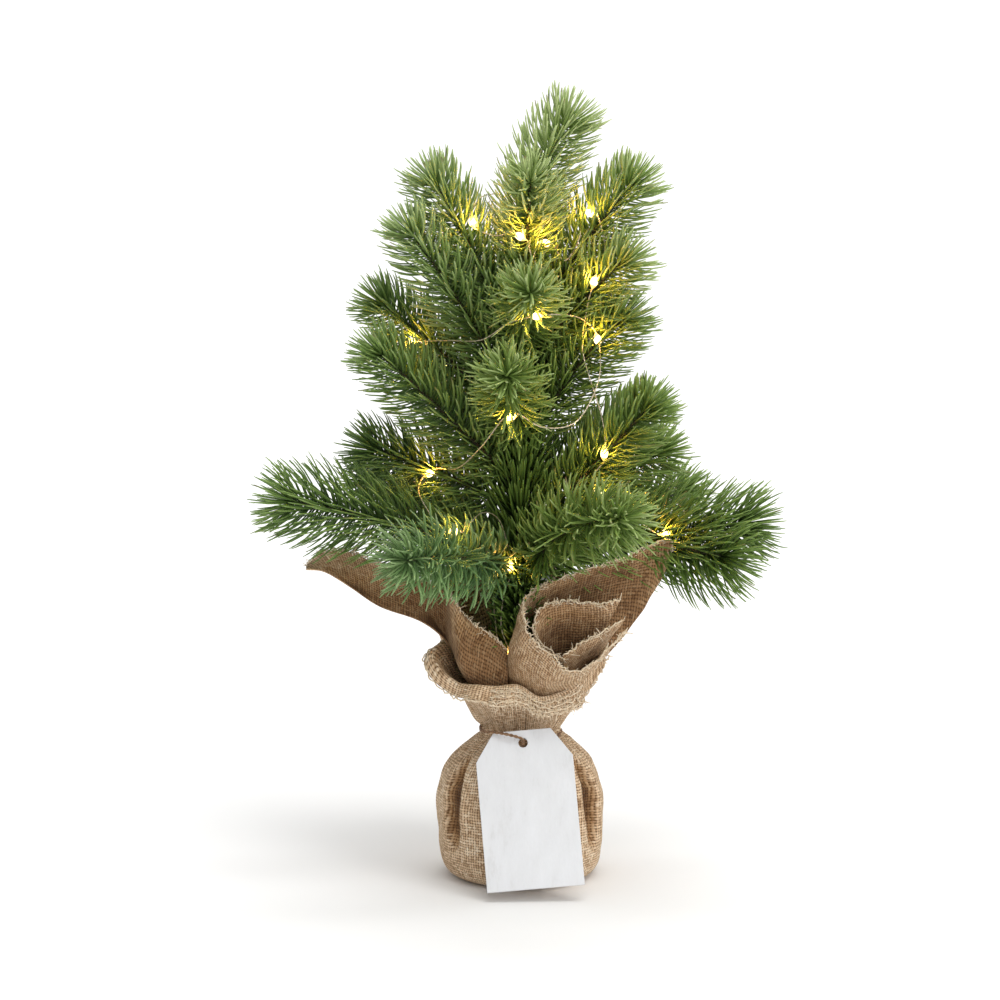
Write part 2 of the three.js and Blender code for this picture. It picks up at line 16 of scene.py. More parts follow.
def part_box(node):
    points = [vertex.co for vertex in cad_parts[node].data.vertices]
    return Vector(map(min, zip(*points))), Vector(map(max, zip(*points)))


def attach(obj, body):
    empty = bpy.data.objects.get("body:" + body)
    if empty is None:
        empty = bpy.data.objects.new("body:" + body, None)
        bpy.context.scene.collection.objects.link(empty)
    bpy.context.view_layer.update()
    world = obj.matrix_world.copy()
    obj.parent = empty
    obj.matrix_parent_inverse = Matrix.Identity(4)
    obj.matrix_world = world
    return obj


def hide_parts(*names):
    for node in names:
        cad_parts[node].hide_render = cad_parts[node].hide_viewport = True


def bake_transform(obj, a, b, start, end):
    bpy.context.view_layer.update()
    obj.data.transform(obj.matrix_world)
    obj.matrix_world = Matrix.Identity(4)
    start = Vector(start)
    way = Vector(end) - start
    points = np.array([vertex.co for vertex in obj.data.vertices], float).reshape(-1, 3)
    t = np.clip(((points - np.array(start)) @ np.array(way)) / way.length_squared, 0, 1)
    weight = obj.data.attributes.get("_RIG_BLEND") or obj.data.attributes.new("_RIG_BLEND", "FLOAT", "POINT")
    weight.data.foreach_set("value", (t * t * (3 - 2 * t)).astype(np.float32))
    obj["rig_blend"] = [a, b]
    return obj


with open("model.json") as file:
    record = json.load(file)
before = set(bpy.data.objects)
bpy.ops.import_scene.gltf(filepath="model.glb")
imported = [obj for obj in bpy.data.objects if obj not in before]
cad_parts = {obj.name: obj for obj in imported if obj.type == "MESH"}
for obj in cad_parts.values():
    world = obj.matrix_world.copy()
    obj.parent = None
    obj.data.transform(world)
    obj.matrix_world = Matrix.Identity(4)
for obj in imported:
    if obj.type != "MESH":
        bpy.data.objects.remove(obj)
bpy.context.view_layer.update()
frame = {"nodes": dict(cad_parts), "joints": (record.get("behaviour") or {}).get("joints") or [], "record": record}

MM = 0.001
UP = np.array([0.0, 0.0, 1.0])
JOINTS = {joint["child"]: joint for joint in frame["joints"]}
SEED = 20

# ---------------------------------------------------------------------------------------------
# Camera, stage and light
# ---------------------------------------------------------------------------------------------

CAMERA_TARGET = (-0.0118, 0.0, 0.215)
CAMERA_DISTANCE = 1.6
CAMERA_ELEVATION = math.radians(8)
FRAME_HEIGHT = 0.5625  # metres that the frame shows at the target


def add_camera():
    data = bpy.data.cameras.new("camera")
    data.sensor_width = 36
    data.lens = data.sensor_width * CAMERA_DISTANCE / FRAME_HEIGHT
    camera = bpy.data.objects.new("camera", data)
    bpy.context.scene.collection.objects.link(camera)
    back = Vector((0, -math.cos(CAMERA_ELEVATION), math.sin(CAMERA_ELEVATION)))
    camera.location = Vector(CAMERA_TARGET) + back * CAMERA_DISTANCE
    camera.rotation_euler = (math.pi / 2 - CAMERA_ELEVATION, 0, 0)
    bpy.context.scene.camera = camera


def add_area_light(name, location, target, size, energy, color):
    data = bpy.data.lights.new(name, "AREA")
    data.shape = "DISK"
    data.size = size
    data.energy = energy
    data.color = color
    light = bpy.data.objects.new(name, data)
    bpy.context.scene.collection.objects.link(light)
    light.location = location
    direction = Vector(target) - Vector(location)
    light.rotation_euler = direction.to_track_quat("-Z", "Y").to_euler()


def add_stage():
    world = bpy.data.worlds.new("studio")
    world.use_nodes = True
    background = world.node_tree.nodes["Background"]
    background.inputs["Color"].default_value = (1.0, 1.0, 1.0, 1.0)
    background.inputs["Strength"].default_value = 0.5
    scene = bpy.context.scene
    scene.world = world
    scene.view_settings.view_transform = "Standard"
    make_backdrop()
    middle = (0, 0, 0.2)
    add_area_light("top", (0.5, -0.7, 2.6), middle, 2.0, 38, (1.0, 0.99, 0.97))
    add_area_light("key", (1.3, -1.3, 0.9), middle, 0.8, 11, (1.0, 0.98, 0.95))
    add_area_light("wall", (0.0, 1.2, 3.2), (0, 4.4, 0.8), 2.5, 90, (1.0, 1.0, 1.0))


def make_backdrop():
    """A plain pale floor that sweeps up into a wall far behind the tree."""
    profile = [(-4.0, 0.0), (2.5, 0.0)]
    turn = np.linspace(0, np.pi / 2, 24)[1:]
    profile += [(2.5 + 2.0 * math.sin(angle), 2.0 - 2.0 * math.cos(angle)) for angle in turn]
    profile.append((4.5, 6.0))
    points = [(x, y, z) for y, z in profile for x in (-6.0, 6.0)]
    patch = Patchwork()
    patch.add(points, grid_quads(len(profile), 2))
    return patch.build("floor", [floor_material()])


# ---------------------------------------------------------------------------------------------
# Material helpers
# ---------------------------------------------------------------------------------------------


class Shader:
    """A material with a Principled shader, and short calls that add nodes to it."""

    def __init__(self, name, **settings):
        self.material = bpy.data.materials.new(name)
        self.material.use_nodes = True
        self.tree = self.material.node_tree
        self.surface = self.tree.nodes["Principled BSDF"]
        for key, value in settings.items():
            self.surface.inputs[key.replace("_", " ")].default_value = value

    def node(self, kind, **settings):
        made = self.tree.nodes.new(kind)
        for key, value in settings.items():
            setattr(made, key, value)
        return made

    def link(self, source, target):
        self.tree.links.new(source, target)

    def put(self, target, value):
        if isinstance(value, (int, float, tuple)):
            target.default_value = value
        else:
            self.link(value, target)

    def math(self, operation, first, second=0.0, clamp=False):
        made = self.node("ShaderNodeMath", operation=operation, use_clamp=clamp)
        self.put(made.inputs[0], first)
        self.put(made.inputs[1], second)
        return made.outputs[0]

    def add(self, first, second):
        return self.math("ADD", first, second)

    def times(self, first, second):
        return self.math("MULTIPLY", first, second)

    def mix(self, share, first, second):
        made = self.node("ShaderNodeMix", data_type="RGBA")
        self.put(made.inputs["Factor"], share)
        self.put(made.inputs["A"], first)
        self.put(made.inputs["B"], second)
        return made.outputs["Result"]

    def ramp(self, share, *stops):
        made = self.node("ShaderNodeValToRGB")
        elements = made.color_ramp.elements
        while len(elements) < len(stops):
            elements.new(0.5)
        for element, (position, color) in zip(elements, stops):
            element.position = position
            element.color = (*color, 1.0)
        self.put(made.inputs["Fac"], share)
        return made.outputs["Color"]

    def remap(self, value, low, high, out_low=0.0, out_high=1.0):
        made = self.node("ShaderNodeMapRange")
        self.put(made.inputs["Value"], value)
        limits = {"From Min": low, "From Max": high, "To Min": out_low, "To Max": out_high}
        for key, number in limits.items():
            made.inputs[key].default_value = number
        return made.outputs["Result"]

    def noise(self, scale, detail=3.0, vector=None, rough=0.5):
        made = self.node("ShaderNodeTexNoise")
        made.inputs["Scale"].default_value = scale
        made.inputs["Detail"].default_value = detail
        made.inputs["Roughness"].default_value = rough
        self.link(vector if vector is not None else self.place(), made.inputs["Vector"])
        return made.outputs["Fac"]

    def place(self, stretch=None):
        coordinates = self.node("ShaderNodeTexCoord").outputs["Object"]
        if stretch is None:
            return coordinates
        mapping = self.node("ShaderNodeMapping")
        self.link(coordinates, mapping.inputs["Vector"])
        mapping.inputs["Scale"].default_value = stretch
        return mapping.outputs["Vector"]

    def attribute(self, name):
        return self.node("ShaderNodeAttribute", attribute_name=name).outputs["Fac"]

    def bump(self, height, distance, strength=1.0):
        made = self.node("ShaderNodeBump")
        made.inputs["Distance"].default_value = distance
        made.inputs["Strength"].default_value = strength
        self.link(height, made.inputs["Height"])
        self.link(made.outputs["Normal"], self.surface.inputs["Normal"])

    def color(self, value):
        self.put(self.surface.inputs["Base Color"], value)

    def roughness(self, value):
        self.put(self.surface.inputs["Roughness"], value)


def floor_material():
    shader = Shader("floor", Roughness=0.9)
    shader.color(shader.ramp(shader.noise(3.0), (0.0, (0.90, 0.90, 0.90)), (1.0, (0.92, 0.92, 0.92))))
    return shader.material


# ---------------------------------------------------------------------------------------------
# Materials
# ---------------------------------------------------------------------------------------------

NEEDLE_SHADES = (
    (0.00, (0.012, 0.027, 0.006)),
    (0.22, (0.050, 0.098, 0.015)),
    (0.45, (0.125, 0.213, 0.038)),
    (0.70, (0.250, 0.365, 0.090)),
    (1.00, (0.530, 0.635, 0.290)),
)
NEEDLE_BLUE = (0.165, 0.320, 0.160, 1.0)
NEEDLE_BROWN = (0.130, 0.055, 0.018, 1.0)


def needle_material():
    """Moulded needles: dark at the stem, lighter and yellower towards their tips, on young growth, and with
    painted light on the upper and front sprays.
    """
    shader = Shader("needles", Roughness=0.42, Specular_IOR_Level=0.32)
    tint, along, age = (shader.attribute(name) for name in ("tint", "along", "age"))
    share = shader.times(along, 0.36)
    # Young growth together with painted light: lighter towards each spray's end and on the upper and front sprays.
    share = shader.add(share, shader.times(age, 0.42))
    share = shader.add(share, shader.times(tint, 0.28))
    share = shader.add(share, shader.times(shader.noise(90.0), 0.12))
    green = shader.ramp(share, *NEEDLE_SHADES)
    bluish = shader.times(shader.attribute("blue"), 0.55)
    green = shader.mix(bluish, green, NEEDLE_BLUE)
    tip = shader.remap(along, 0.82, 1.0)
    scorched = shader.times(tip, shader.remap(tint, 0.9, 1.0))
    shader.color(shader.mix(scorched, green, NEEDLE_BROWN))
    shader.roughness(shader.remap(shader.noise(300.0), 0.3, 0.7, 0.36, 0.5))
    ridges = shader.noise(900.0, 2.0)
    shader.bump(ridges, 0.0001, 0.3)
    return shader.material


def stem_material():
    shader = Shader("stem", Roughness=0.62)
    shader.color(shader.ramp(
        shader.noise(220.0, 4.0),
        (0.25, (0.030, 0.026, 0.010)), (0.6, (0.070, 0.062, 0.024)), (0.9, (0.120, 0.090, 0.040)),
    ))
    shader.bump(shader.noise(600.0, 3.0), 0.0003, 0.6)
    return shader.material


BAG_GIRTH = 46 * MM  # the radius at which the weave is at its own pitch; gathers close it up
WEAVE_THREADS = 180  # round the girth, an even number so that over and under meet at the seam
WEAVE_PITCH = 2 * math.pi * BAG_GIRTH / WEAVE_THREADS
BURLAP_GAP = (0.150, 0.075, 0.028, 1.0)  # what shows between the threads
# What the cloth's colour is multiplied by, from open cloth to the bottom of a deep pleat.
BURLAP_SHADES = ((0.0, (1.0, 1.0, 1.0)), (0.6, (0.60, 0.48, 0.35)), (1.0, (0.12, 0.055, 0.017)))
DEEPEST_FOLD = 0.8  # how shaded the folds' feet are at most

INNER_SHADE = 0.45
INNER_FACE = (-5 * MM, -25 * MM)  # how far a face looks inwards, times its distance from the trunk
INNER_ZONE = (95 * MM, 105 * MM)


def weave_material():
    """Open plain weave of jute: warp and weft pass over and under, with slubs and gaps."""
    shader = Shader("burlap", Roughness=0.95, Sheen_Weight=0.25, Sheen_Roughness=0.6)
    shader.surface.inputs["Sheen Tint"].default_value = (0.9, 0.75, 0.55, 1.0)
    shader.surface.inputs["Specular IOR Level"].default_value = 0.15
    uv = shader.node("ShaderNodeUVMap", uv_map="cloth").outputs["UV"]
    wander = shader.node("ShaderNodeTexNoise")
    wander.inputs["Scale"].default_value = 70.0
    wander.inputs["Detail"].default_value = 2.0
    shader.link(uv, wander.inputs["Vector"])
    drift = shader.node("ShaderNodeVectorMath", operation="MULTIPLY_ADD")
    shader.link(wander.outputs["Color"], drift.inputs[0])
    drift.inputs[1].default_value = (0.0014, 0.0014, 0.0)
    shader.link(uv, drift.inputs[2])
    split = shader.node("ShaderNodeSeparateXYZ")
    shader.link(drift.outputs["Vector"], split.inputs["Vector"])
    across = shader.math("DIVIDE", split.outputs["X"], WEAVE_PITCH)
    along = shader.math("DIVIDE", split.outputs["Y"], WEAVE_PITCH)
    warp, warp_tone = weave_threads(shader, across, along, 0.0)
    weft, weft_tone = weave_threads(shader, along, across, 1.0)
    height = shader.math("MAXIMUM", warp, weft)
    over = shader.math("GREATER_THAN", warp, weft)
    tone = shader.add(
        shader.times(over, warp_tone),
        shader.times(shader.math("SUBTRACT", 1.0, over), weft_tone),
    )
    fibres = shader.noise(2600.0, 2.0)
    stain = shader.noise(28.0, 3.0)
    share = shader.add(shader.times(tone, 0.34), shader.times(fibres, 0.26))
    share = shader.add(share, shader.times(stain, 0.30))
    jute = shader.ramp(
        share,
        (0.18, (0.360, 0.205, 0.100)), (0.45, (0.780, 0.560, 0.360)), (0.72, (1.000, 0.880, 0.690)),
    )
    woven = shader.mix(shader.remap(height, 0.26, 0.70), BURLAP_GAP, jute)
    shaded = shader.node("ShaderNodeMix", data_type="RGBA", blend_type="MULTIPLY")
    shade = shader.math("ADD", shader.attribute("shade"), inner_shade(shader), clamp=True)
    shaded.inputs["Factor"].default_value = 1.0
    shader.put(shaded.inputs["A"], woven)
    shader.put(shaded.inputs["B"], shader.ramp(shade, *BURLAP_SHADES))
    shader.color(shaded.outputs["Result"])
    relief = shader.add(height, shader.times(fibres, 0.18))
    shader.bump(relief, 0.0007, 1.0)
    return shader.material


def inner_shade(shader):
    """Extra shade on faces that look in towards the trunk, where the collar keeps the light out."""
    normal = shader.node("ShaderNodeSeparateXYZ")
    shader.link(shader.node("ShaderNodeNewGeometry").outputs["Normal"], normal.inputs["Vector"])
    spot = shader.node("ShaderNodeSeparateXYZ")
    shader.link(shader.place(), spot.inputs["Vector"])
    outward = shader.add(
        shader.times(normal.outputs["X"], spot.outputs["X"]),
        shader.times(normal.outputs["Y"], spot.outputs["Y"]),
    )
    inward = shader.remap(outward, *INNER_FACE)
    above_neck = shader.remap(spot.outputs["Z"], *INNER_ZONE)
    return shader.times(shader.times(inward, above_neck), INNER_SHADE)


def weave_threads(shader, across, along, phase):
    """Height and tone of the threads that run one way, over and under those that cross them."""
    number = shader.math("FLOOR", across)
    middle = shader.math("ABSOLUTE", shader.math("SINE", shader.times(across, math.pi)))
    thickness = shader.node("ShaderNodeTexNoise")
    thickness.inputs["Scale"].default_value = 1.0
    thickness.inputs["Detail"].default_value = 2.0
    spot = shader.node("ShaderNodeCombineXYZ")
    shader.link(shader.times(number, 7.31), spot.inputs["X"])
    shader.link(shader.times(along, 0.22), spot.inputs["Y"])
    spot.inputs["Z"].default_value = phase * 11.0
    shader.link(spot.outputs["Vector"], thickness.inputs["Vector"])
    slub = shader.remap(thickness.outputs["Fac"], 0.3, 0.7, 0.62, 1.08)
    crossing = shader.add(shader.add(along, number), phase - 0.5)
    turn = shader.times(crossing, math.pi)
    wave = shader.add(shader.times(shader.math("COSINE", turn), 0.24), 0.72)
    round_top = shader.math("POWER", middle, 0.7)
    height = shader.times(shader.times(round_top, wave), slub)
    return height, shader.remap(thickness.outputs["Fac"], 0.3, 0.7)


def jute_thread_material(name, dark, light):
    shader = Shader(name, Roughness=0.95, Sheen_Weight=0.2)
    shader.color(shader.ramp(shader.noise(700.0, 3.0), (0.3, dark), (0.75, light)))
    shader.bump(shader.noise(2500.0, 2.0), 0.0002, 0.8)
    return shader.material


def tag_material():
    """Whitewashed plywood: pale paint through which the long grain just shows."""
    shader = Shader("whitewashed_wood", Roughness=0.72, Specular_IOR_Level=0.3)
    place = shader.place((140.0, 140.0, 9.0))
    grain = shader.noise(1.0, 5.0, place, 0.62)
    pores = shader.noise(1.0, 2.0, shader.place((900.0, 900.0, 30.0)), 0.6)
    cloudy = shader.noise(22.0, 2.0)
    share = shader.add(shader.times(grain, 0.6), shader.times(cloudy, 0.3))
    share = shader.add(share, shader.times(pores, 0.16))
    shader.color(shader.ramp(
        share,
        (0.30, (0.635, 0.638, 0.645)), (0.48, (0.738, 0.748, 0.770)), (0.75, (0.795, 0.808, 0.835)),
    ))
    shader.roughness(shader.remap(grain, 0.2, 0.8, 0.6, 0.85))
    shader.bump(shader.add(grain, shader.times(pores, 0.5)), 0.00025, 0.7)
    return shader.material


def wire_material():
    shader = Shader("champagne_wire", Metallic=0.85, Roughness=0.3)
    shader.color(shader.ramp(
        shader.noise(400.0, 2.0), (0.3, (0.62, 0.52, 0.36)), (0.7, (0.86, 0.78, 0.62)),
    ))
    shader.roughness(shader.remap(shader.noise(900.0), 0.3, 0.7, 0.25, 0.42))
    return shader.material


def bead_material(name, color, strength):
    """Clear resin over a lit warm diode."""
    shader = Shader(name, Roughness=0.12, Coat_Weight=1.0, Coat_Roughness=0.05)
    shader.color(shader.ramp(shader.noise(500.0), (0.0, (1.0, 0.72, 0.30)), (1.0, (1.0, 0.82, 0.45))))
    shader.surface.inputs["Emission Color"].default_value = (*color, 1.0)
    shader.surface.inputs["Emission Strength"].default_value = strength
    return shader.material


def plain_material(name, dark, light, scale, rough, metal=0.0, relief=0.0, stretch=None, coat=0.0):
    """Two close tones mixed by noise, with matching roughness and a fine relief."""
    shader = Shader(name, Metallic=metal, Coat_Weight=coat)
    vector = shader.place(stretch) if stretch else None
    texture = shader.noise(scale, 4.0, vector, 0.6)
    shader.color(shader.ramp(texture, (0.3, dark), (0.7, light)))
    shader.roughness(shader.remap(texture, 0.3, 0.7, rough - 0.08, rough + 0.08))
    if relief:
        shader.bump(texture, relief, 0.8)
    return shader.material


def tape_material():
    """Crepe stem tape wound in overlapping turns up the trunk."""
    shader = Shader("stem_tape", Roughness=0.8)
    crepe = shader.noise(1.0, 3.0, shader.place((900.0, 900.0, 260.0)))
    wave = shader.node("ShaderNodeTexWave", wave_type="BANDS", bands_direction="DIAGONAL")
    wave.inputs["Scale"].default_value = 60.0
    wave.inputs["Distortion"].default_value = 2.0
    shader.link(shader.place(), wave.inputs["Vector"])
    shader.color(shader.ramp(
        shader.add(shader.times(crepe, 0.6), shader.times(wave.outputs["Fac"], 0.3)),
        (0.2, (0.030, 0.024, 0.010)), (0.8, (0.110, 0.085, 0.035)),
    ))
    shader.bump(shader.add(crepe, wave.outputs["Fac"]), 0.0004, 0.8)
    return shader.material


# ---------------------------------------------------------------------------------------------
# Mesh helpers
# ---------------------------------------------------------------------------------------------


def unit(vectors):
    length = np.linalg.norm(vectors, axis=-1, keepdims=True)
    return vectors / np.maximum(length, 1e-12)


def swing(angle, first, second):
    """What first becomes when it turns by angle towards second."""
    return np.cos(angle) * first + np.sin(angle) * second


def level(turn):
    """Unit vectors that point level, out from the trunk, at each azimuth."""
    return np.stack([np.cos(turn), np.sin(turn), np.zeros_like(turn)], 1)


def path_lengths(path):
    """How far along a path each of its points lies."""
    return np.concatenate([[0.0], np.cumsum(np.linalg.norm(np.diff(path, axis=0), axis=1))])


def sample(values, lengths, places):
    """Rows of values, given at lengths, as they are at places."""
    return np.stack([np.interp(places, lengths, column) for column in values.T], -1)


class Patchwork:
    """Collects patches of quads, with a material and per-point attributes each, into one mesh."""

    def __init__(self):
        self.points, self.quads, self.materials, self.attributes, self.uvs = [], [], [], [], []
        self.count = 0

    def add(self, points, quads, material=0, uv=None, **attributes):
        points = np.asarray(points, float).reshape(-1, 3)
        self.points.append(points)
        self.quads.append(np.asarray(quads, int).reshape(-1, 4) + self.count)
        self.materials.append(np.full(len(quads), material, int))
        self.attributes.append((len(points), attributes))
        self.uvs.append(np.zeros((len(points), 2)) if uv is None else np.asarray(uv, float).reshape(-1, 2))
        self.count += len(points)

    def build(self, name, materials, with_uv=False):
        points, quads = np.concatenate(self.points), np.concatenate(self.quads)
        mesh = bpy.data.meshes.new(name)
        mesh.vertices.add(len(points))
        mesh.vertices.foreach_set("co", points.ravel())
        mesh.loops.add(quads.size)
        mesh.loops.foreach_set("vertex_index", quads.ravel())
        mesh.polygons.add(len(quads))
        mesh.polygons.foreach_set("loop_start", np.arange(0, quads.size, 4))
        mesh.polygons.foreach_set("material_index", np.concatenate(self.materials))
        mesh.polygons.foreach_set("use_smooth", np.ones(len(quads), bool))
        for key in sorted({key for _, attributes in self.attributes for key in attributes}):
            values = [
                np.broadcast_to(attributes.get(key, 0.0), size) for size, attributes in self.attributes
            ]
            layer = mesh.attributes.new(key, "FLOAT", "POINT")
            layer.data.foreach_set("value", np.concatenate(values).astype(np.float32))
        if with_uv:
            layer = mesh.uv_layers.new(name="cloth")
            layer.data.foreach_set("uv", np.concatenate(self.uvs)[quads.ravel()].ravel())
        mesh.update(calc_edges=True)
        mesh.validate()
        for material in materials:
            mesh.materials.append(material)
        thing = bpy.data.objects.new(name, mesh)
        bpy.context.scene.collection.objects.link(thing)
        return thing


def grid_quads(rows, columns, closed=False):
    """Quads of a grid of points, stored row by row. Closed joins each row's end to its start."""
    row = np.arange(rows - 1)[:, None]
    column = np.arange(columns if closed else columns - 1)[None, :]
    after = (column + 1) % columns
    first, second = row * columns + column, row * columns + after
    return np.stack([first, second, second + columns, first + columns], -1).reshape(-1, 4)


def smooth_path(points, per_span, closed=False):
    """A Catmull-Rom curve through points, with per_span steps between each two of them."""
    points = np.asarray(points, float)
    count = len(points)
    if closed:
        padded = np.concatenate([points[-1:], points, points[:2]])
    else:
        padded = np.concatenate([2 * points[:1] - points[1:2], points, 2 * points[-1:] - points[-2:-1]])
    spans = count if closed else count - 1
    share = (np.arange(per_span) / per_span)[:, None]
    pieces = []
    for span in range(spans):
        a, b, c, d = padded[span:span + 4]
        pieces.append(0.5 * (2 * b + (c - a) * share + (2 * a - 5 * b + 4 * c - d) * share ** 2
                             + (3 * b - a - 3 * c + d) * share ** 3))
    if not closed:
        pieces.append(points[-1:])
    return np.concatenate(pieces)


def even_path(points, step):
    """The same path with points at equal distances, about step apart."""
    lengths = path_lengths(points)
    count = max(2, int(round(lengths[-1] / step)) + 1)
    places = np.linspace(0, lengths[-1], count)
    return sample(points, lengths, places)


def path_frames(path):
    """Tangent and two normals at each point, turning as little as they can."""
    tangents = unit(np.gradient(path, axis=0))
    start = np.cross(tangents[0], UP if abs(tangents[0][2]) < 0.9 else np.array([1.0, 0.0, 0.0]))
    normals = [unit(start)]
    for tangent in tangents[1:]:
        normal = normals[-1] - tangent * np.dot(normals[-1], tangent)
        normals.append(unit(normal))
    normals = np.array(normals)
    return tangents, normals, np.cross(tangents, normals)


def add_tube(patch, path, radius, sides=8, material=0, **attributes):
    """A round tube along a path, with small closed ends. Radius is one value or one per point."""
    _, normals, binormals = path_frames(path)
    radius = np.broadcast_to(radius, len(path)).copy()
    path = np.concatenate([path[:1], path, path[-1:]])
    normals = np.concatenate([normals[:1], normals, normals[-1:]])
    binormals = np.concatenate([binormals[:1], binormals, binormals[-1:]])
    radius = np.concatenate([[radius[0] * 0.05], radius, [radius[-1] * 0.05]])
    angles = np.arange(sides) * 2 * np.pi / sides
    ring = swing(angles[None, :, None], normals[:, None], binormals[:, None])
    points = path[:, None] + ring * radius[:, None, None]
    patch.add(points, grid_quads(len(path), sides, closed=True), material, **attributes)


def plied_cord(patch, path, ply_radius, offset, pitch, plies=2, sides=6, material=0):
    """Plies twisted round each other along a path."""
    lengths = path_lengths(path)
    _, normals, binormals = path_frames(path)
    for ply in range(plies):
        angle = (2 * np.pi * (lengths / pitch + ply / plies))[:, None]
        add_tube(patch, path + offset * swing(angle, normals, binormals), ply_radius, sides, material)


def add_turned(patch, profile, place, sides=24, material=0):
    """A profile of (radius, height) turned about the Z axis of the 4x4 matrix place."""
    profile = np.asarray(profile, float)
    angles = np.arange(sides) * 2 * np.pi / sides
    points = np.stack([
        profile[:, :1] * np.cos(angles), profile[:, :1] * np.sin(angles),
        np.repeat(profile[:, 1:], sides, axis=1),
    ], -1).reshape(-1, 3)
    points = points @ np.array(place.to_3x3()).T + np.array(place.translation)
    patch.add(points, grid_quads(len(profile), sides, closed=True), material)


# ---------------------------------------------------------------------------------------------
# Needle sprays
# ---------------------------------------------------------------------------------------------

# The branches' routes in millimetres, the same as the CAD's: each leaves its joint, bends towards
# via and ends at tip. Blue is how bluish its needles are, and loose how untidy. Light is how young
# they look together with painted light: the upper and front sprays get more, the low and back ones less.
BRANCHES = [
    {"name": "leader", "via": (-2, 2, 392), "tip": (34, 4, 436), "light": 2.0, "size": 1.1},
    {
        "name": "crown_front", "via": (4, -14, 372), "tip": (5, -34, 407),
        "light": 1.1, "size": 0.95, "loose": 0.2,
    },
    {"name": "crown_left", "via": (-22, -2, 352), "tip": (-56, 4, 405), "light": 0.9, "blue": 0.3},
    {"name": "crown_right", "via": (26, 2, 350), "tip": (70, 2, 402), "light": 0.7, "size": 1.08},
    {"name": "upper_left", "via": (-24, -6, 316), "tip": (-69, -12, 377), "light": 0.9, "blue": 0.3},
    {"name": "upper_right", "via": (30, -6, 326), "tip": (66, -14, 359), "light": 0.75, "size": 1.08},
    {"name": "upper_front", "via": (2, -36, 324), "tip": (5, -76, 341), "light": 0.72, "loose": 0.2},
    {"name": "mid_left_back", "via": (-42, 14, 296), "tip": (-89, 26, 332), "light": 0.45, "blue": 0.25},
    {
        "name": "mid_left", "via": (-38, -10, 262), "tip": (-88, -18, 308),
        "light": 0.5, "blue": 0.25, "size": 1.05,
    },
    {"name": "mid_right", "via": (24, -4, 288), "tip": (65, -8, 327), "light": 0.4, "size": 1.12},
    {"name": "mid_front", "via": (-6, -42, 278), "tip": (-9, -86, 298), "light": 0.65, "loose": 0.2},
    {
        "name": "low_right", "via": (40, -8, 234), "tip": (79, -18, 279), "light": 0.35,
        "fork": {"from": 0.3, "via": (58, 12, 232), "tip": (91, 24, 244)},
    },
    {
        "name": "low_left", "via": (-46, 6, 232), "tip": (-97, 14, 246),
        "light": 0.0, "blue": 0.2, "size": 1.08,
    },
    {
        "name": "bottom_left", "via": (-70, -4, 204), "tip": (-142, -9, 218),
        "light": 0.2, "blue": 0.2, "size": 1.3,
    },
    {
        "name": "front_left", "via": (-34, -42, 192), "tip": (-71, -88, 194), "light": 0.75, "blue": 0.9,
        "size": 1.12, "loose": 0.2,
    },
    {
        "name": "front_right", "via": (28, -46, 218), "tip": (62, -86, 215),
        "light": 0.6, "size": 1.12, "loose": 0.2,
    },
    {
        "name": "bottom_right", "via": (76, 4, 196), "tip": (139, 12, 201), "light": 0.05, "size": 1.35,
        "fork": {"from": 0.5, "via": (96, -8, 186), "tip": (127, -14, 183)},
    },
    {"name": "back_crown", "via": (4, 22, 356), "tip": (12, 54, 388), "light": 0.5},
    {"name": "back_left_upper", "via": (-16, 34, 318), "tip": (-38, 74, 346), "light": 0.4},
    {"name": "back_right_upper", "via": (22, 40, 300), "tip": (46, 84, 326), "light": 0.4},
    {"name": "back_middle", "via": (-2, 60, 268), "tip": (-4, 118, 280), "light": 0.4},
    {"name": "back_left", "via": (-32, 44, 262), "tip": (-64, 88, 284), "light": 0.3},
    {"name": "back_right", "via": (44, 44, 244), "tip": (84, 84, 262), "light": 0.3},
    {"name": "back_left_low", "via": (-54, 46, 208), "tip": (-100, 84, 218), "light": 0.3},
    {"name": "back_right_low", "via": (58, 44, 204), "tip": (106, 78, 212), "light": 0.3},
]

NEEDLE_SPACING = 0.23 * MM  # along the stem, from one needle to the next round it
NEEDLE_LENGTH = 26 * MM
NEEDLE_WIDTH = 1.45 * MM
NEEDLE_THICKNESS = 0.9 * MM
NEEDLE_CURL = math.radians(42)
NEEDLE_RINGS = np.array([0.0, 0.18, 0.42, 0.68, 0.9, 1.0])
NEEDLE_TAPER = np.array([0.6, 0.92, 1.0, 0.98, 0.8, 0.4])
GOLDEN_ANGLE = math.radians(137.508)
TUFT_NEEDLES = 54
TUFT_SPREAD = math.radians(84)
TUFT_CLOSING = 0.55  # a tuft needle's lean at its tip, as a share of its lean at its foot
STEM_SHORT = 13 * MM  # how far before the branch's tip its stem ends, in the middle of the tuft
STEM_RADIUS = (1.5 * MM, 0.85 * MM)
BARE_START = 5 * MM
TIDY = 0.04  # how far needles stray from their row, as a share of their length


def bezier(start, via, end, count):
    share = np.linspace(0, 1, count)[:, None]
    return (1 - share) ** 2 * start + 2 * share * (1 - share) * via + share ** 2 * end


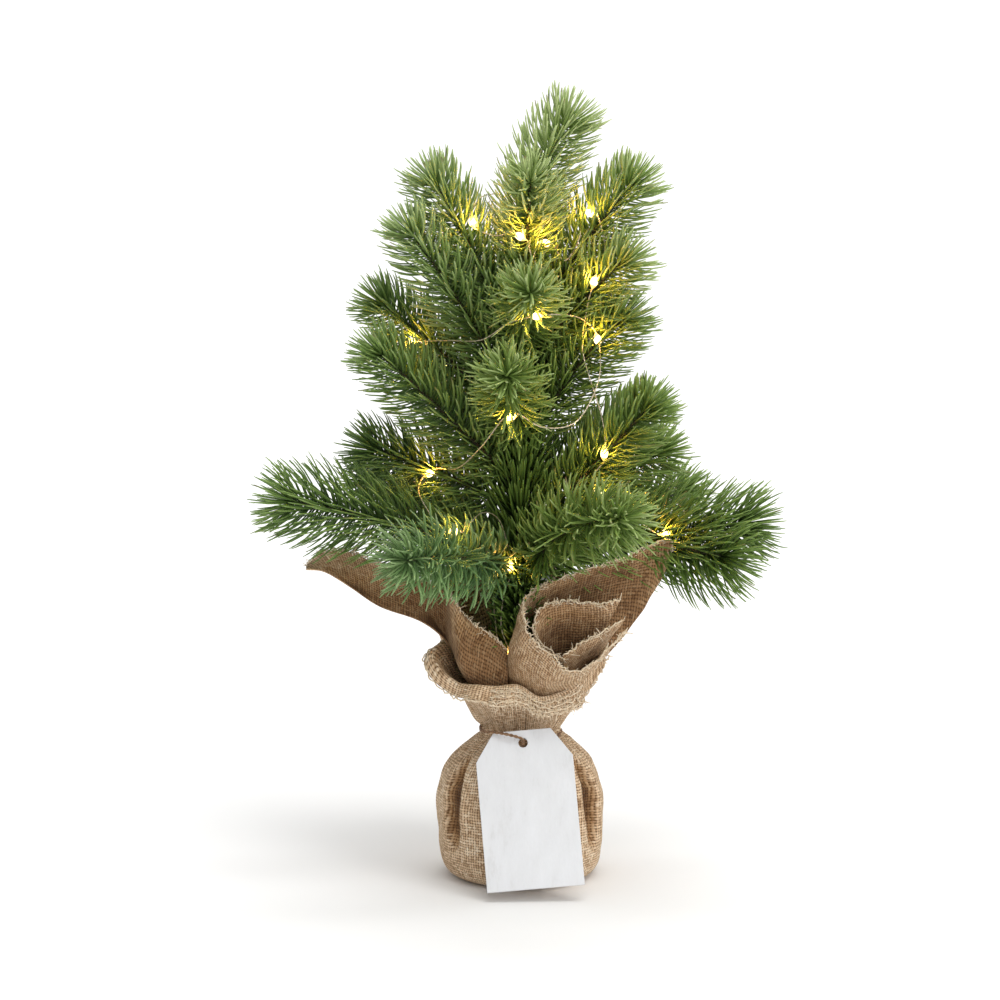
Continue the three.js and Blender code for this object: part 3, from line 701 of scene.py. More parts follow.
def add_needles(patch, base, heading, ahead, length, **attributes):
    """Tapered needles that start towards heading and curl towards ahead."""
    share = NEEDLE_RINGS[None, :, None]
    bend = (ahead - heading)[:, None]
    path = base[:, None] + length[:, None, None] * (heading[:, None] * share + 0.5 * bend * share ** 2)
    tangent = unit(heading[:, None] + bend * share)
    side = unit(np.cross(tangent, UP + 0.02))
    face = np.cross(side, tangent)
    half = 0.5 * NEEDLE_TAPER[None, :, None] * np.ones((len(base), 1, 1))
    corners = [side * NEEDLE_WIDTH, face * NEEDLE_THICKNESS, -side * NEEDLE_WIDTH, -face * NEEDLE_THICKNESS]
    points = np.stack([path + corner * half for corner in corners], 2)
    rings = len(NEEDLE_RINGS)
    last = 4 * (rings - 1)
    ends = [[3, 2, 1, 0], [last, last + 1, last + 2, last + 3]]
    one = np.concatenate([grid_quads(rings, 4, closed=True), ends])
    quads = (one[None] + (np.arange(len(base)) * rings * 4)[:, None, None]).reshape(-1, 4)
    spread = {
        key: np.repeat(np.broadcast_to(value, len(base)), rings * 4) for key, value in attributes.items()
    }
    along = np.tile(np.repeat(NEEDLE_RINGS, 4), len(base))
    patch.add(points.reshape(-1, 3), quads, 0, along=along, **spread)


def add_spray(patch, path, rng, light, blue, size=1.0, loose=TIDY, bare=BARE_START):
    """A stem along path, needles all round it and a tuft at its end."""
    path = even_path(path, 1.0 * MM)[:-int(STEM_SHORT / MM)]
    lengths = path_lengths(path)
    total = lengths[-1]
    radius = np.linspace(*STEM_RADIUS, len(path)) * (1 + 0.1 * rng.standard_normal(len(path)))
    add_tube(patch, path, radius, 7, 1)

    tangents, normals, binormals = path_frames(path)
    count = int((total - bare) / NEEDLE_SPACING)
    places = bare + (total - bare) * (np.arange(count) + rng.uniform(-0.4, 0.4, count)) / count
    share = places / total

    def at(values):
        return sample(values, lengths, places)

    turn = np.arange(count) * GOLDEN_ANGLE + rng.uniform(-0.25, 0.25, count)
    tangent = unit(at(tangents))
    radial = unit(swing(turn[:, None], at(normals), at(binormals)))
    lean = np.radians(np.interp(share, [0, 0.35, 0.8, 1], [82, 80, 76, 68]) + rng.normal(0, 5, count))
    length = size * NEEDLE_LENGTH * np.interp(share, [0, 0.2, 0.45, 0.7, 1], [0.7, 1.0, 1.12, 1.08, 0.92])
    length *= rng.uniform(0.92, 1.06, count)
    heading = swing(lean[:, None], tangent, radial)
    ahead = swing((lean - NEEDLE_CURL)[:, None], tangent, radial)
    heading = unit(heading + rng.normal(0, loose, (count, 3)))
    ahead = unit(ahead + rng.normal(0, 1.5 * loose, (count, 3)))
    # Young growth and painted light: lighter towards the spray's end, and more on sprays given more light.
    age = np.clip(light * (0.35 + 0.65 * share) + rng.normal(0, 0.05, count), 0, 1)
    tint = rng.uniform(0, 1, count)
    add_needles(patch, at(path), heading, ahead, length, tint=tint, age=age, blue=blue)

    turn = np.arange(TUFT_NEEDLES) * GOLDEN_ANGLE
    lean = TUFT_SPREAD * np.sqrt((np.arange(TUFT_NEEDLES) + 0.5) / TUFT_NEEDLES)
    radial = swing(turn[:, None], normals[-1], binormals[-1])
    heading = swing(lean[:, None], tangents[-1], radial)
    ahead = swing(TUFT_CLOSING * lean[:, None], tangents[-1], radial)
    length = size * NEEDLE_LENGTH * rng.uniform(0.68, 0.8, TUFT_NEEDLES)
    heading = unit(heading + rng.normal(0, loose, (TUFT_NEEDLES, 3)))
    ahead = unit(ahead + rng.normal(0, 1.5 * loose, (TUFT_NEEDLES, 3)))
    base = np.repeat(path[-1:], TUFT_NEEDLES, 0) - tangents[-1] * rng.uniform(0, 3, (TUFT_NEEDLES, 1)) * MM
    # The tuft, at the spray's end, gets the most young growth and painted light.
    add_needles(patch, base, heading, ahead, length,
                tint=rng.uniform(0, 1, TUFT_NEEDLES), age=min(1.0, light * 1.15), blue=blue)


def make_sprays(materials):
    for number, branch in enumerate(BRANCHES):
        name = branch["name"]
        rng = np.random.default_rng(SEED + number)
        root = np.array(JOINTS[name]["pos_m"])
        route = bezier(root, np.array(branch["via"]) * MM, np.array(branch["tip"]) * MM, 60)
        light, blue, size = branch["light"], branch.get("blue", 0.0), branch.get("size", 1.0)
        loose = branch.get("loose", TIDY)
        patch = Patchwork()
        add_spray(patch, route, rng, light, blue, size, loose)
        fork = branch.get("fork")
        if fork:
            start = even_path(route, 1 * MM)
            start = start[int(fork["from"] * (len(start) - 1))]
            side = bezier(start, np.array(fork["via"]) * MM, np.array(fork["tip"]) * MM, 60)
            add_spray(patch, side, rng, light, blue, size, loose, bare=2 * MM)
        spray = patch.build(f"spray_{name}", materials)
        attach(spray, name)
        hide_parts(f"branch_{name}")


TRUNK_NEEDLE_ZONE = (103 * MM, 337 * MM)
TRUNK_NEEDLES = 2000
COLLAR_ZONE_TOP = 178 * MM  # below it the needles are short and only in front of the battery box
LIP_ZONE_TOP = 130 * MM  # below it the folds of the burlap are close round the trunk
# Longer needles in the gap in the front of the burlap, with their azimuths in degrees.
GAP_ZONE = (136 * MM, 182 * MM)
GAP_TURN = (238, 292)
GAP_NEEDLES = 260
GAP_LENGTH = 27 * MM


def make_trunk_needles(materials):
    """Dark needles on the trunk itself, which fill the middle of the tree."""
    rng = np.random.default_rng(SEED + 100)
    height = np.linspace(*TRUNK_NEEDLE_ZONE, TRUNK_NEEDLES) + rng.uniform(-1, 1, TRUNK_NEEDLES) * MM
    turn = np.arange(TRUNK_NEEDLES) * GOLDEN_ANGLE
    radial = level(turn)
    keep = (radial[:, 1] < 0.1) | (height > COLLAR_ZONE_TOP)
    height, radial = height[keep], radial[keep]
    count = len(height)
    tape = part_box("trunk_tape")[1].x - 0.4 * MM
    lean = np.radians(rng.uniform(45, 80, count))[:, None]
    heading = swing(lean, UP, radial)
    ahead = swing(lean - NEEDLE_CURL, UP, radial)
    length = NEEDLE_LENGTH * rng.uniform(0.85, 1.2, count)
    length[height < COLLAR_ZONE_TOP] *= 0.85
    length[height < LIP_ZONE_TOP] *= 0.65
    patch = Patchwork()
    base = radial * tape + height[:, None] * UP
    add_needles(patch, base, heading, ahead, length, tint=rng.uniform(0, 0.35, count), age=0.0, blue=0.0)
    turn = np.radians(rng.uniform(*GAP_TURN, GAP_NEEDLES))
    radial = level(turn)
    base = radial * tape + rng.uniform(*GAP_ZONE, (GAP_NEEDLES, 1)) * UP
    heading = radial + rng.normal(0, 0.2, (GAP_NEEDLES, 3))
    ahead = heading + rng.uniform(0.1, 0.9, (GAP_NEEDLES, 1)) * UP
    add_needles(patch, base, heading, ahead, GAP_LENGTH * rng.uniform(0.7, 1.0, GAP_NEEDLES),
                tint=rng.uniform(0, 0.5, GAP_NEEDLES), age=0.0, blue=0.0)
    needles = patch.build("trunk_needles", materials)
    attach(needles, "root")


# ---------------------------------------------------------------------------------------------
# Burlap wrap
# ---------------------------------------------------------------------------------------------

# Outline of the bag up to its neck, (radius, height) in millimetres.
BAG = [
    (0, 0.6), (18, 0.6), (33, 0.7), (41.5, 3.5), (45.3, 12), (46.4, 28), (46.2, 42), (44.4, 56),
    (38.4, 67.5), (29, 76.5), (22.2, 82), (20.9, 85.5),
]
# The collar at each azimuth, in degrees from +X: where it opens out of the neck, its crest and rim.
COLLAR = [
    (0, (27, 94), (43, 124), (53, 144)),
    (30, (32, 94), (44, 128), (56, 150)),
    (60, (35, 93), (44, 130), (57, 162)),
    (90, (34, 93), (43, 134), (62, 174)),
    (120, (35, 93), (44, 132), (58, 166)),
    (150, (34, 94), (46, 132), (60, 156)),
    (175, (28, 94), (43, 132), (50, 150)),
    (190, (26, 94), (41, 131), (44, 139)),
    (198, (25, 93), (45, 131), (50, 134)),
    (205, (25, 93), (50, 128), (57, 127)),
    (213, (25, 92), (50, 122), (57, 118)),
    (221, (25, 92), (48, 117), (55, 112)),
    (230, (25, 92), (44, 115), (51, 109)),
    (242, (25, 91), (39, 115), (46, 108)),
    (255, (25, 91), (35, 116), (42, 107)),
    (270, (25, 91), (35, 114), (42, 105)),
    (288, (25, 91), (36, 110), (43, 102)),
    (303, (26, 92), (40, 111), (46, 102)),
    (317, (26, 93), (44, 118), (49, 108)),
    (330, (27, 93), (45, 125), (49, 118)),
    (343, (27, 94), (43, 127), (49, 134)),
]
BAG_ROWS = 90
COLLAR_ROWS = 64
WRAP_COLUMNS = 420
# Deep pleats in the bag: where each is, how deep, and half its width, both angles in degrees.
PLEATS = (
    (215, 8.0, 9.0), (327, 8.0, 8.5), (36, 4.6, 4.0), (84, 5.0, 4.0), (131, 4.6, 4.0), (168, 4.4, 4.0),
)
PLEAT_MIDDLE, PLEAT_REACH = 46, 27  # height of a pleat's deepest place, and how far it runs from there
PLEAT_ROOM = ((26, 38, 48, 54, 58), (8.0, 6.0, 4.2, 3.8, 8.0))  # heights, and room over the pot
GATHERS = 21
CLOTH_THICKNESS = 1.0 * MM

# The fold that stands up on the right like a rolled leaf, and the layer inside it. Each column is
# (foot, belly, rim), in millimetres, from the fold's front edge on the right, round its left side
# and along its back to the corner of the cloth.
SCOOP = [
    ((15, -10, 95), (36, -20, 119), (58, -26, 144.5)),
    ((14, -13, 95), (31, -26, 115), (49, -32, 136)),
    ((12, -16, 95), (24, -31, 111), (40, -38, 129)),
    ((9, -18, 95), (12, -33, 110), (26, -44, 125.5)),
    ((4, -18, 95), (3, -32, 115), (15.5, -45, 135)),
    ((-1, -17, 95), (-5, -29, 120), (4.5, -42, 144)),
    ((-4, -14, 95), (-8, -25, 126), (0.4, -35, 157.5)),
    ((-4, -12, 95), (-5, -20, 130), (3, -29, 164)),
    ((-1, -9, 95), (1, -15, 135), (13, -25, 171)),
    ((4, -7, 95), (13, -12, 140), (33, -21, 177.5)),
    ((9, -5, 95), (26, -9, 144), (55, -18, 184)),
    ((14, -4, 95), (44, -8, 146), (81, -18, 194.5)),
    ((18, 0, 95), (62, -2, 143), (84, -12, 187)),
]
SCOOP_LAYER = [
    ((15, -14, 96), (22, -28, 114), (24, -40, 131)),
    ((13, -14, 96), (14, -28, 118), (14.5, -38, 136)),
    ((11, -13, 96), (10, -25, 122), (6.5, -36, 145)),
    ((10, -12, 96), (12, -21, 128), (8.5, -33, 154.5)),
    ((10, -11, 96), (16, -18, 132), (14.5, -30, 160)),
    ((11, -9, 96), (22, -16, 134), (25, -28, 162)),
    ((13, -8, 96), (30, -15, 134), (38, -27, 160)),
    ((15, -6, 96), (40, -14, 134), (55, -23, 162)),
]
SCOOP_EDGE = [
    ((14, -13, 96), (20, -27, 113), (23, -39, 133)),
    ((15, -12, 96), (26, -25, 116), (33, -35, 139)),
    ((16, -10, 96), (32, -21, 120), (45, -30, 144.5)),
    ((17, -8, 96), (38, -16, 124), (57, -23, 151)),
]
# The panel inside the collar on the left: from the crease in the middle it climbs to a ridge, turns
# back over it and runs out to the left as a pointed flap.
LEFT_PANEL = [
    ((-3, -15, 95), (-7, -27, 112), (-7.5, -26, 134)),
    ((-8, -16, 95), (-15, -28, 116), (-17.5, -25, 142.5)),
    ((-13, -15, 96), (-24, -29, 121), (-28.5, -26, 150)),
    ((-18, -14, 98), (-34, -32, 129), (-36, -30, 161)),
    ((-34, -9, 122), (-40, -15, 142), (-41, -16, 166)),
    ((-43, -14, 138), (-46, -12, 150), (-49, -13, 169)),
    ((-56.5, -17, 149), (-60, -13, 160), (-62, -13, 174)),
    ((-79, -16, 157), (-81, -11, 169), (-82, -10, 181)),
    ((-96, -14, 168), (-98, -9, 178), (-99, -8, 187)),
    ((-110, -12, 176), (-110.5, -9, 181), (-111, -9, 186)),
    ((-120.5, -12, 177.5), (-120.5, -10, 178.5), (-120.5, -9, 179.5)),
]
# How shaded each sheet is from its first column to its last: inside faces are darker.
SCOOP_SHADE = (0.15, 0.2, 0.25, 0.32, 0.36, 0.4, 0.5, 0.65, 0.85, 0.95, 0.9, 0.7, 0.55)
LAYER_SHADE = (0.6, 0.55, 0.5, 0.6, 0.65, 0.65, 0.55, 0.4)
EDGE_SHADE = (0.6, 0.45, 0.35, 0.25)
LEFT_SHADE = (0.95, 0.88, 0.8, 0.5, 1.05, 0.95, 0.55, 0.45, 0.35, 0.2, 0.12)
LEAF_COLUMNS = 150
LEAF_ROWS = 60


def round_the_sack(azimuth, part, axis):
    """One value of the collar's table at each azimuth, on a smooth closed curve."""
    angles = np.array([row[0] for row in COLLAR], float)
    values = np.array([row[part][axis] for row in COLLAR], float)
    angles = np.concatenate([angles[-2:] - 360, angles, angles[:3] + 360])
    values = np.concatenate([values[-2:], values, values[:3]])
    slopes = np.gradient(values, angles)
    index = np.clip(np.searchsorted(angles, azimuth, side="right") - 1, 0, len(angles) - 2)
    span = angles[index + 1] - angles[index]
    share = (azimuth - angles[index]) / span
    return ((1 + 2 * share) * (1 - share) ** 2 * values[index]
            + share * (1 - share) ** 2 * span * slopes[index]
            + share ** 2 * (3 - 2 * share) * values[index + 1]
            + share ** 2 * (share - 1) * span * slopes[index + 1])


def even_rows(points, rows):
    """Resamples a smooth curve through 2-D points at equal distances."""
    flat = np.concatenate([points, np.zeros((len(points), 1))], 1)
    curve = smooth_path(flat, 12)[:, :2]
    lengths = path_lengths(curve)
    return sample(curve, lengths, np.linspace(0, lengths[-1], rows))


def gather_shape(azimuth):
    """Irregular gathers round the neck, from -1 in each crease to 1 on each fold."""
    warp = 0.9 * np.sin(3 * azimuth + 0.7) + 0.6 * np.sin(5 * azimuth + 2.1) + 0.4 * np.sin(8 * azimuth)
    fold = np.abs(np.cos(0.5 * GATHERS * azimuth + warp)) ** 0.65
    return 2 * (fold - 0.62)


def wrap_surface():
    """Points of the wrap, rows from the middle of the underside to the rim, and its cloth UVs."""
    azimuth = np.linspace(0, 360, WRAP_COLUMNS, endpoint=False)
    angle = np.radians(azimuth)
    gather = gather_shape(angle)
    bag = even_rows(np.array(BAG, float), BAG_ROWS)
    neck = np.array(BAG[-1], float)
    columns = []
    for index, turn in enumerate(azimuth):
        parts = [[round_the_sack(turn, part, axis) for axis in (0, 1)] for part in (1, 2, 3)]
        curve = even_rows(np.array([neck, *parts]), COLLAR_ROWS)
        columns.append(np.concatenate([bag, curve[1:]]))
    profile = np.array(columns).transpose(1, 0, 2)
    radius, height = profile[..., 0], profile[..., 1]
    rows = len(radius)

    row = np.arange(rows)[:, None]
    climb = np.clip((row - BAG_ROWS) / (COLLAR_ROWS - 1), 0, 1)
    in_bag = row < BAG_ROWS
    near_neck = np.where(in_bag, np.clip((height - 52) / 33, 0, 1) ** 1.5, np.exp(-3.0 * climb))
    radius = radius + 1.5 * near_neck * gather[None, :]
    ruffle = np.sin(9 * angle + 1.3 * np.sin(2 * angle))[None, :] + 0.5 * np.sin(14 * angle + 1.0)[None, :]
    radius = radius + np.where(in_bag, 0, 1.9 * climb * ruffle)
    height = height + np.where(in_bag, 0, 1.2 * climb * np.sin(11 * angle + 0.4)[None, :])
    shade = np.zeros_like(radius)
    room = np.interp(height, *PLEAT_ROOM)
    for centre, depth, width in PLEATS:
        away = (azimuth - centre + 180) % 360 - 180 + 0.06 * (height - 50)
        reach = np.where(in_bag, np.clip(1 - ((height - PLEAT_MIDDLE) / PLEAT_REACH) ** 2, 0, 1), 0)
        crease = np.clip(1 - (away / (width * np.sqrt(reach + 0.02))) ** 2, 0, 1)
        lips = np.exp(-((away - width - 3) / 4.0) ** 2) + 0.7 * np.exp(-((away + width + 3) / 4.0) ** 2)
        radius = radius + reach * (1.5 * lips - np.minimum(depth, room) * crease ** 0.8)
        shade = np.maximum(shade, np.sqrt(reach) * crease ** 0.5 * min(1.0, depth / 8))

    points = np.stack([radius * np.cos(angle), radius * np.sin(angle), height], -1) * MM
    dents = wrinkles(points, 60.0, 1.1 * MM)[..., None]
    points = points + dents * level(angle) * np.clip(height / 20, 0, 1)[..., None]
    across = np.repeat((angle * BAG_GIRTH)[None, :], rows, 0)
    up = np.linalg.norm(np.diff(points, axis=0, prepend=points[:1]), axis=2).mean(axis=1).cumsum()
    uv = np.stack([across, np.repeat(up[:, None], WRAP_COLUMNS, 1)], -1)
    return points, uv, shade


def wrinkles(points, frequency, depth):
    """Soft random dents for a grid of points."""
    flat = points.reshape(-1, 3) * frequency
    values = [noise.noise(Vector(point)) + 0.5 * noise.noise(Vector(point * 2.3)) for point in flat]
    return np.array(values).reshape(points.shape[:-1]) * depth


def leaf_surface(columns):
    """A smooth sheet through columns of (foot, belly, rim)."""
    net = np.array(columns, float) * MM
    feet, bellies, rims = (
        even_path(smooth_path(net[:, part], 14), 0.5 * MM) for part in range(3)
    )
    across = np.linspace(0, 1, LEAF_COLUMNS)

    def spread(path):
        return sample(path, np.linspace(0, 1, len(path)), across)

    foot, belly, rim = spread(feet), spread(bellies), spread(rims)
    control = 2 * belly - 0.5 * (foot + rim)
    share = np.linspace(0, 1, LEAF_ROWS)[:, None, None]
    points = (1 - share) ** 2 * foot + 2 * share * (1 - share) * control + share ** 2 * rim
    normal = unit(np.cross(np.gradient(points, axis=1), np.gradient(points, axis=0)))
    points = points + normal * (wrinkles(points, 75.0, 1.7 * MM) * share[..., 0])[..., None]
    width = np.linalg.norm(np.diff(points, axis=1, prepend=points[:, :1]), axis=2).cumsum(axis=1)
    width = width - width[:, LEAF_COLUMNS // 2, None]
    tall = np.linalg.norm(np.diff(points, axis=0, prepend=points[:1]), axis=2).mean(axis=1).cumsum()
    return points, np.stack([width, np.repeat(tall[:, None], LEAF_COLUMNS, 1)], -1)


FRAY_SPACING = 0.5 * MM
FRAY_LENGTH = (2 * MM, 6 * MM)
FRAY_RADIUS = 0.33 * MM
# How ragged the collar's rim is at each azimuth, and the rows of loose threads that lie on its front.
LIP_RAGGED = ((0, 190, 200, 232, 246, 318, 330, 360), (0.8, 0.5, 0.25, 0.25, 1.0, 1.0, 0.6, 0.8))
LIP_FRONT = (246, 318)
LIP_ROWS = (-3, -7, -11)
LIP_PROUD = 0.9 * MM


def add_fray(patch, rim, outward, rng, ragged=1.0):
    """Loose thread ends along a raw edge, and a weft thread that has come half free of it."""
    lengths = path_lengths(rim)
    ragged = np.broadcast_to(ragged, len(rim))
    count = int(lengths[-1] / FRAY_SPACING)
    places = np.sort(rng.uniform(0, lengths[-1], count))
    share = np.linspace(0, 1, 5)[:, None]
    for place in places:
        base = sample(rim, lengths, place)
        out = unit(sample(outward, lengths, place))
        length = rng.uniform(*FRAY_LENGTH) * rng.uniform(0.4, 1.0) * np.interp(place, lengths, ragged)
        lean = out + rng.normal(0, 0.45, 3)
        curl = rng.normal(0, 0.5, 3) + np.array([0, 0, -0.25])
        path = base - out * 1.2 * MM + length * (unit(lean) * share + 0.5 * curl * share ** 2)
        add_tube(patch, path, FRAY_RADIUS * np.array([1.2, 1.1, 0.9, 0.7, 0.4]) * rng.uniform(0.6, 1.3), 4)
    step = max(1, int(1.5 * MM / (lengths[-1] / len(rim))))
    loose = rim[::step] + outward[::step] * rng.uniform(-0.2, 1.6, (len(rim[::step]), 1)) * MM
    loose = loose + rng.normal(0, 0.35 * MM, loose.shape)
    add_tube(patch, even_path(smooth_path(loose, 3), 0.8 * MM), 0.42 * MM, 6)


def make_wrap(cloth, thread):
    """The whole burlap wrap as one sheet with its folds, and the fray along its raw edges."""
    rng = np.random.default_rng(SEED + 200)
    sheet, fray = Patchwork(), Patchwork()
    points, uv, shade = wrap_surface()
    rows = len(points)
    shade = np.concatenate([shade, shade[:, :1]], 1)
    seam_points = np.concatenate([points, points[:, :1]], 1)
    last = np.stack([np.full(rows, 2 * np.pi * BAG_GIRTH), uv[:, 0, 1]], -1)
    seam_uv = np.concatenate([uv, last[:, None]], 1)
    sheet.add(seam_points[1:], grid_quads(rows - 1, WRAP_COLUMNS + 1), 0, uv=seam_uv[1:],
              shade=shade[1:].ravel())
    rim = np.concatenate([points[-1], points[-1][:1]])
    outward = unit(points[-1] - points[-4])
    azimuth = np.linspace(0, 360, WRAP_COLUMNS + 1)
    ragged = np.interp(azimuth, *LIP_RAGGED)
    add_fray(fray, rim, np.concatenate([outward, outward[:1]]), rng, ragged)
    front = (azimuth[:-1] > LIP_FRONT[0]) & (azimuth[:-1] < LIP_FRONT[1])
    for row in LIP_ROWS:
        lie = points[row][front] + LIP_PROUD * unit(points[row] * (1, 1, 0))[front]
        add_fray(fray, lie + 0.4 * LIP_PROUD * UP, outward[front] * (1, 1, 0.4), rng, 0.7)
    for leaf, shades in ((SCOOP, SCOOP_SHADE), (SCOOP_LAYER, LAYER_SHADE), (SCOOP_EDGE, EDGE_SHADE),
                         (LEFT_PANEL, LEFT_SHADE)):
        points, uv = leaf_surface(leaf)
        across = np.interp(np.linspace(0, 1, LEAF_COLUMNS), np.linspace(0, 1, len(shades)), shades)
        climb = np.linspace(2.2, 0.75, LEAF_ROWS)[:, None]
        sheet.add(points, grid_quads(LEAF_ROWS, LEAF_COLUMNS), 0, uv=uv,
                  shade=np.minimum(across[None, :] * climb, DEEPEST_FOLD).ravel())
        add_fray(fray, points[-1], unit(points[-1] - points[-4]), rng)
    wrap = sheet.build("burlap_wrap", [cloth], with_uv=True)
    weld_seam(wrap)
    solid = wrap.modifiers.new("thickness", "SOLIDIFY")
    solid.thickness = CLOTH_THICKNESS
    solid.offset = 0
    fringe = fray.build("burlap_fray", [thread])
    for piece in (wrap, fringe):
        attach(piece, "root")
    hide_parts("burlap_sack", "burlap_fold")


def weld_seam(thing):
    mesh = bmesh.new()
    mesh.from_mesh(thing.data)
    bmesh.ops.remove_doubles(mesh, verts=mesh.verts, dist=0.02 * MM)
    mesh.to_mesh(thing.data)
    mesh.free()


# ---------------------------------------------------------------------------------------------
# Twine and tag
# ---------------------------------------------------------------------------------------------

# The same route as the CAD's, in millimetres: from behind the neck, round its left, through the
# tag's hole and back round its right.
TWINE = [
    (6, 21.7, 85.4), (-2, 22.6, 85.4), (-12, 19.2, 85.4), (-20.4, 9.6, 85.4), (-22.6, -3, 85.8),
    (-22.6, -16, 87), (-22.2, -26, 88.6), (-19.6, -34.5, 89.6), (-13, -38, 89.8), (-5, -39, 88.4),
    (1, -37.9, 85.8), (1, -34.1, 81.2), (8, -30.4, 79.8), (17, -21, 80.6), (22.6, -5, 82.8),
    (20.4, 9.6, 83.2), (12, 19.2, 83.2), (2, 22.6, 83.2), (-6, 21.8, 83.2),
]
TWINE_PLY = 0.5 * MM
TWINE_OFFSET = 0.42 * MM
TWINE_PITCH = 5.5 * MM
KNOT_SIZE = 1.5 * MM


def make_twine(material):
    rng = np.random.default_rng(SEED + 300)
    patch = Patchwork()
    path = even_path(smooth_path(np.array(TWINE) * MM, 10), 0.5 * MM)
    plied_cord(patch, path, TWINE_PLY, TWINE_OFFSET, TWINE_PITCH)
    turn = np.linspace(0, 2 * np.pi, 60)
    knot = np.stack([
        np.sin(turn) + 2 * np.sin(2 * turn),
        0.8 * np.sin(3 * turn) + 1.4,
        np.cos(turn) - 2 * np.cos(2 * turn),
    ], 1)
    centre = np.array([0, 22.8, 84.3]) * MM
    add_tube(patch, centre + knot * 0.62 * KNOT_SIZE, 0.75 * MM, 8)
    for side in (-1, 1):
        tail = np.array([(0, 24, 84), (3 * side, 27, 82.5), (7 * side, 31, 77), (8.5 * side, 37.4, 70)]) * MM
        plied_cord(patch, even_path(smooth_path(tail, 10), 0.5 * MM), TWINE_PLY, TWINE_OFFSET, TWINE_PITCH)
    for spot in path[::3]:
        hair = spot + np.linspace(0, 1, 4)[:, None] * rng.normal(0, 1.1 * MM, 3)
        add_tube(patch, hair, 0.05 * MM, 3)
    twine = patch.build("twine", [material])
    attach(twine, "root")
    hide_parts("neck_twine")


TAG_WIDTH = 54 * MM
TAG_LENGTH = 88 * MM
TAG_THICKNESS = 2.6 * MM
TAG_CORNER = (11 * MM, 16 * MM)
TAG_HOLE_RADIUS = 2.6 * MM
TAG_HOLE_DROP = 7 * MM
HOLE_STEPS = 40
TAG_LEAN = math.radians(20)
TAG_ROLL = math.radians(5)
TAG_EDGE = 0.35 * MM


def make_tag(material):
    """The plywood tag, cut with eased edges, in the CAD's place: its hole is on its hinge."""
    curve = bpy.data.curves.new("tag_outline", "CURVE")
    curve.dimensions = "2D"
    half, top, foot = TAG_WIDTH / 2, TAG_HOLE_DROP, TAG_HOLE_DROP - TAG_LENGTH
    outline = [
        (-half, foot), (half, foot), (half, top - TAG_CORNER[1]), (half - TAG_CORNER[0], top),
        (TAG_CORNER[0] - half, top), (-half, top - TAG_CORNER[1]),
    ]
    turns = np.arange(HOLE_STEPS) * 2 * math.pi / HOLE_STEPS
    hole = [(TAG_HOLE_RADIUS * math.cos(turn), TAG_HOLE_RADIUS * math.sin(turn)) for turn in turns]
    for loop in (outline, hole):
        spline = curve.splines.new("POLY")
        spline.points.add(len(loop) - 1)
        for point, (x, y) in zip(spline.points, loop):
            point.co = (x, y, 0, 1)
        spline.use_cyclic_u = True
    curve.fill_mode = "BOTH"
    curve.extrude = TAG_THICKNESS / 2 - TAG_EDGE
    curve.bevel_depth = TAG_EDGE
    curve.bevel_resolution = 3
    curve.offset = -TAG_EDGE
    shape = bpy.data.objects.new("tag_shape", curve)
    bpy.context.scene.collection.objects.link(shape)
    bpy.context.view_layer.update()
    mesh = bpy.data.meshes.new_from_object(shape.evaluated_get(bpy.context.evaluated_depsgraph_get()))
    bpy.data.objects.remove(shape)
    place = (
        Matrix.Translation(JOINTS["tag"]["pos_m"])
        @ Matrix.Rotation(math.pi / 2 - TAG_LEAN, 4, "X")
        @ Matrix.Rotation(TAG_ROLL, 4, "Z")
    )
    mesh.transform(place)
    mesh.materials.clear()
    mesh.materials.append(material)
    tag = bpy.data.objects.new("wooden_tag", mesh)
    bpy.context.scene.collection.objects.link(tag)
    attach(tag, "tag")
    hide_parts("tag")


# ---------------------------------------------------------------------------------------------
# Light string
# ---------------------------------------------------------------------------------------------

# The same route as the CAD's, in millimetres, but for two stops before led_02 that lie a little
# deeper among the needles. A stop with a bead names the CAD bead there.
STRING = [
    (None, (-8, 12, 158)), (None, (-8, 12, 166)), (None, (-10, 8, 174)), (None, (-15, -2, 160)),
    (None, (-14, -12, 144)), ("led_01", (-9, -20, 132)), (None, (-11, -17, 145)), (None, (-10, -16, 161)),
    ("led_02", (-6, -17, 180)), (None, (-12, -19, 206)), (None, (-22, -30, 212)),
    ("led_03", (-37, -46, 204)), (None, (-50, -36, 212)), (None, (-57, -18, 222)),
    ("led_04", (-51, -5, 231)), (None, (-35, -22, 236)), (None, (-22, -40, 250)),
    ("led_05", (-6, -54, 268)), (None, (12, -52, 262)), (None, (30, -40, 264)), (None, (42, -28, 284)),
    ("led_06", (42, -17, 307)), (None, (32, -34, 320)), (None, (22, -50, 323)),
    ("led_07", (8, -60, 323)), (None, (-8, -52, 318)), (None, (-22, -34, 308)), (None, (-40, -14, 306)),
    ("led_08", (-61, 4, 304)), (None, (-76, 20, 304)), (None, (-66, 52, 300)),
    ("led_09", (-44, 66, 285)), (None, (-26, 60, 268)), (None, (4, 56, 240)), (None, (34, 52, 222)),
    ("led_10", (62, 46, 214)), (None, (80, 30, 214)), (None, (92, 6, 208)),
    ("led_11", (81, -6, 197)), (None, (64, -12, 206)),
    ("led_12", (43, -10, 222)), (None, (40, -20, 232)),
    ("led_13", (46, -21, 244)), (None, (44, -22, 266)), (None, (34, -18, 300)), (None, (36, -20, 324)),
    ("led_14", (40, -19, 339)), (None, (46, -14, 356)),
    ("led_15", (38, -6, 376)), (None, (32, -8, 362)), (None, (24, -12, 350)),
    ("led_16", (13, -17, 360)), (None, (6, -24, 352)),
    ("led_17", (-1, -24, 364)), (None, (-14, -18, 364)),
    ("led_18", (-27, -9, 371)), (None, (-23, 0, 384)), (None, (-14, 12, 386)), (None, (-8, 28, 384)),
    ("led_19", (2, 44, 388)),
]
BEAD_REACH = 5 * MM
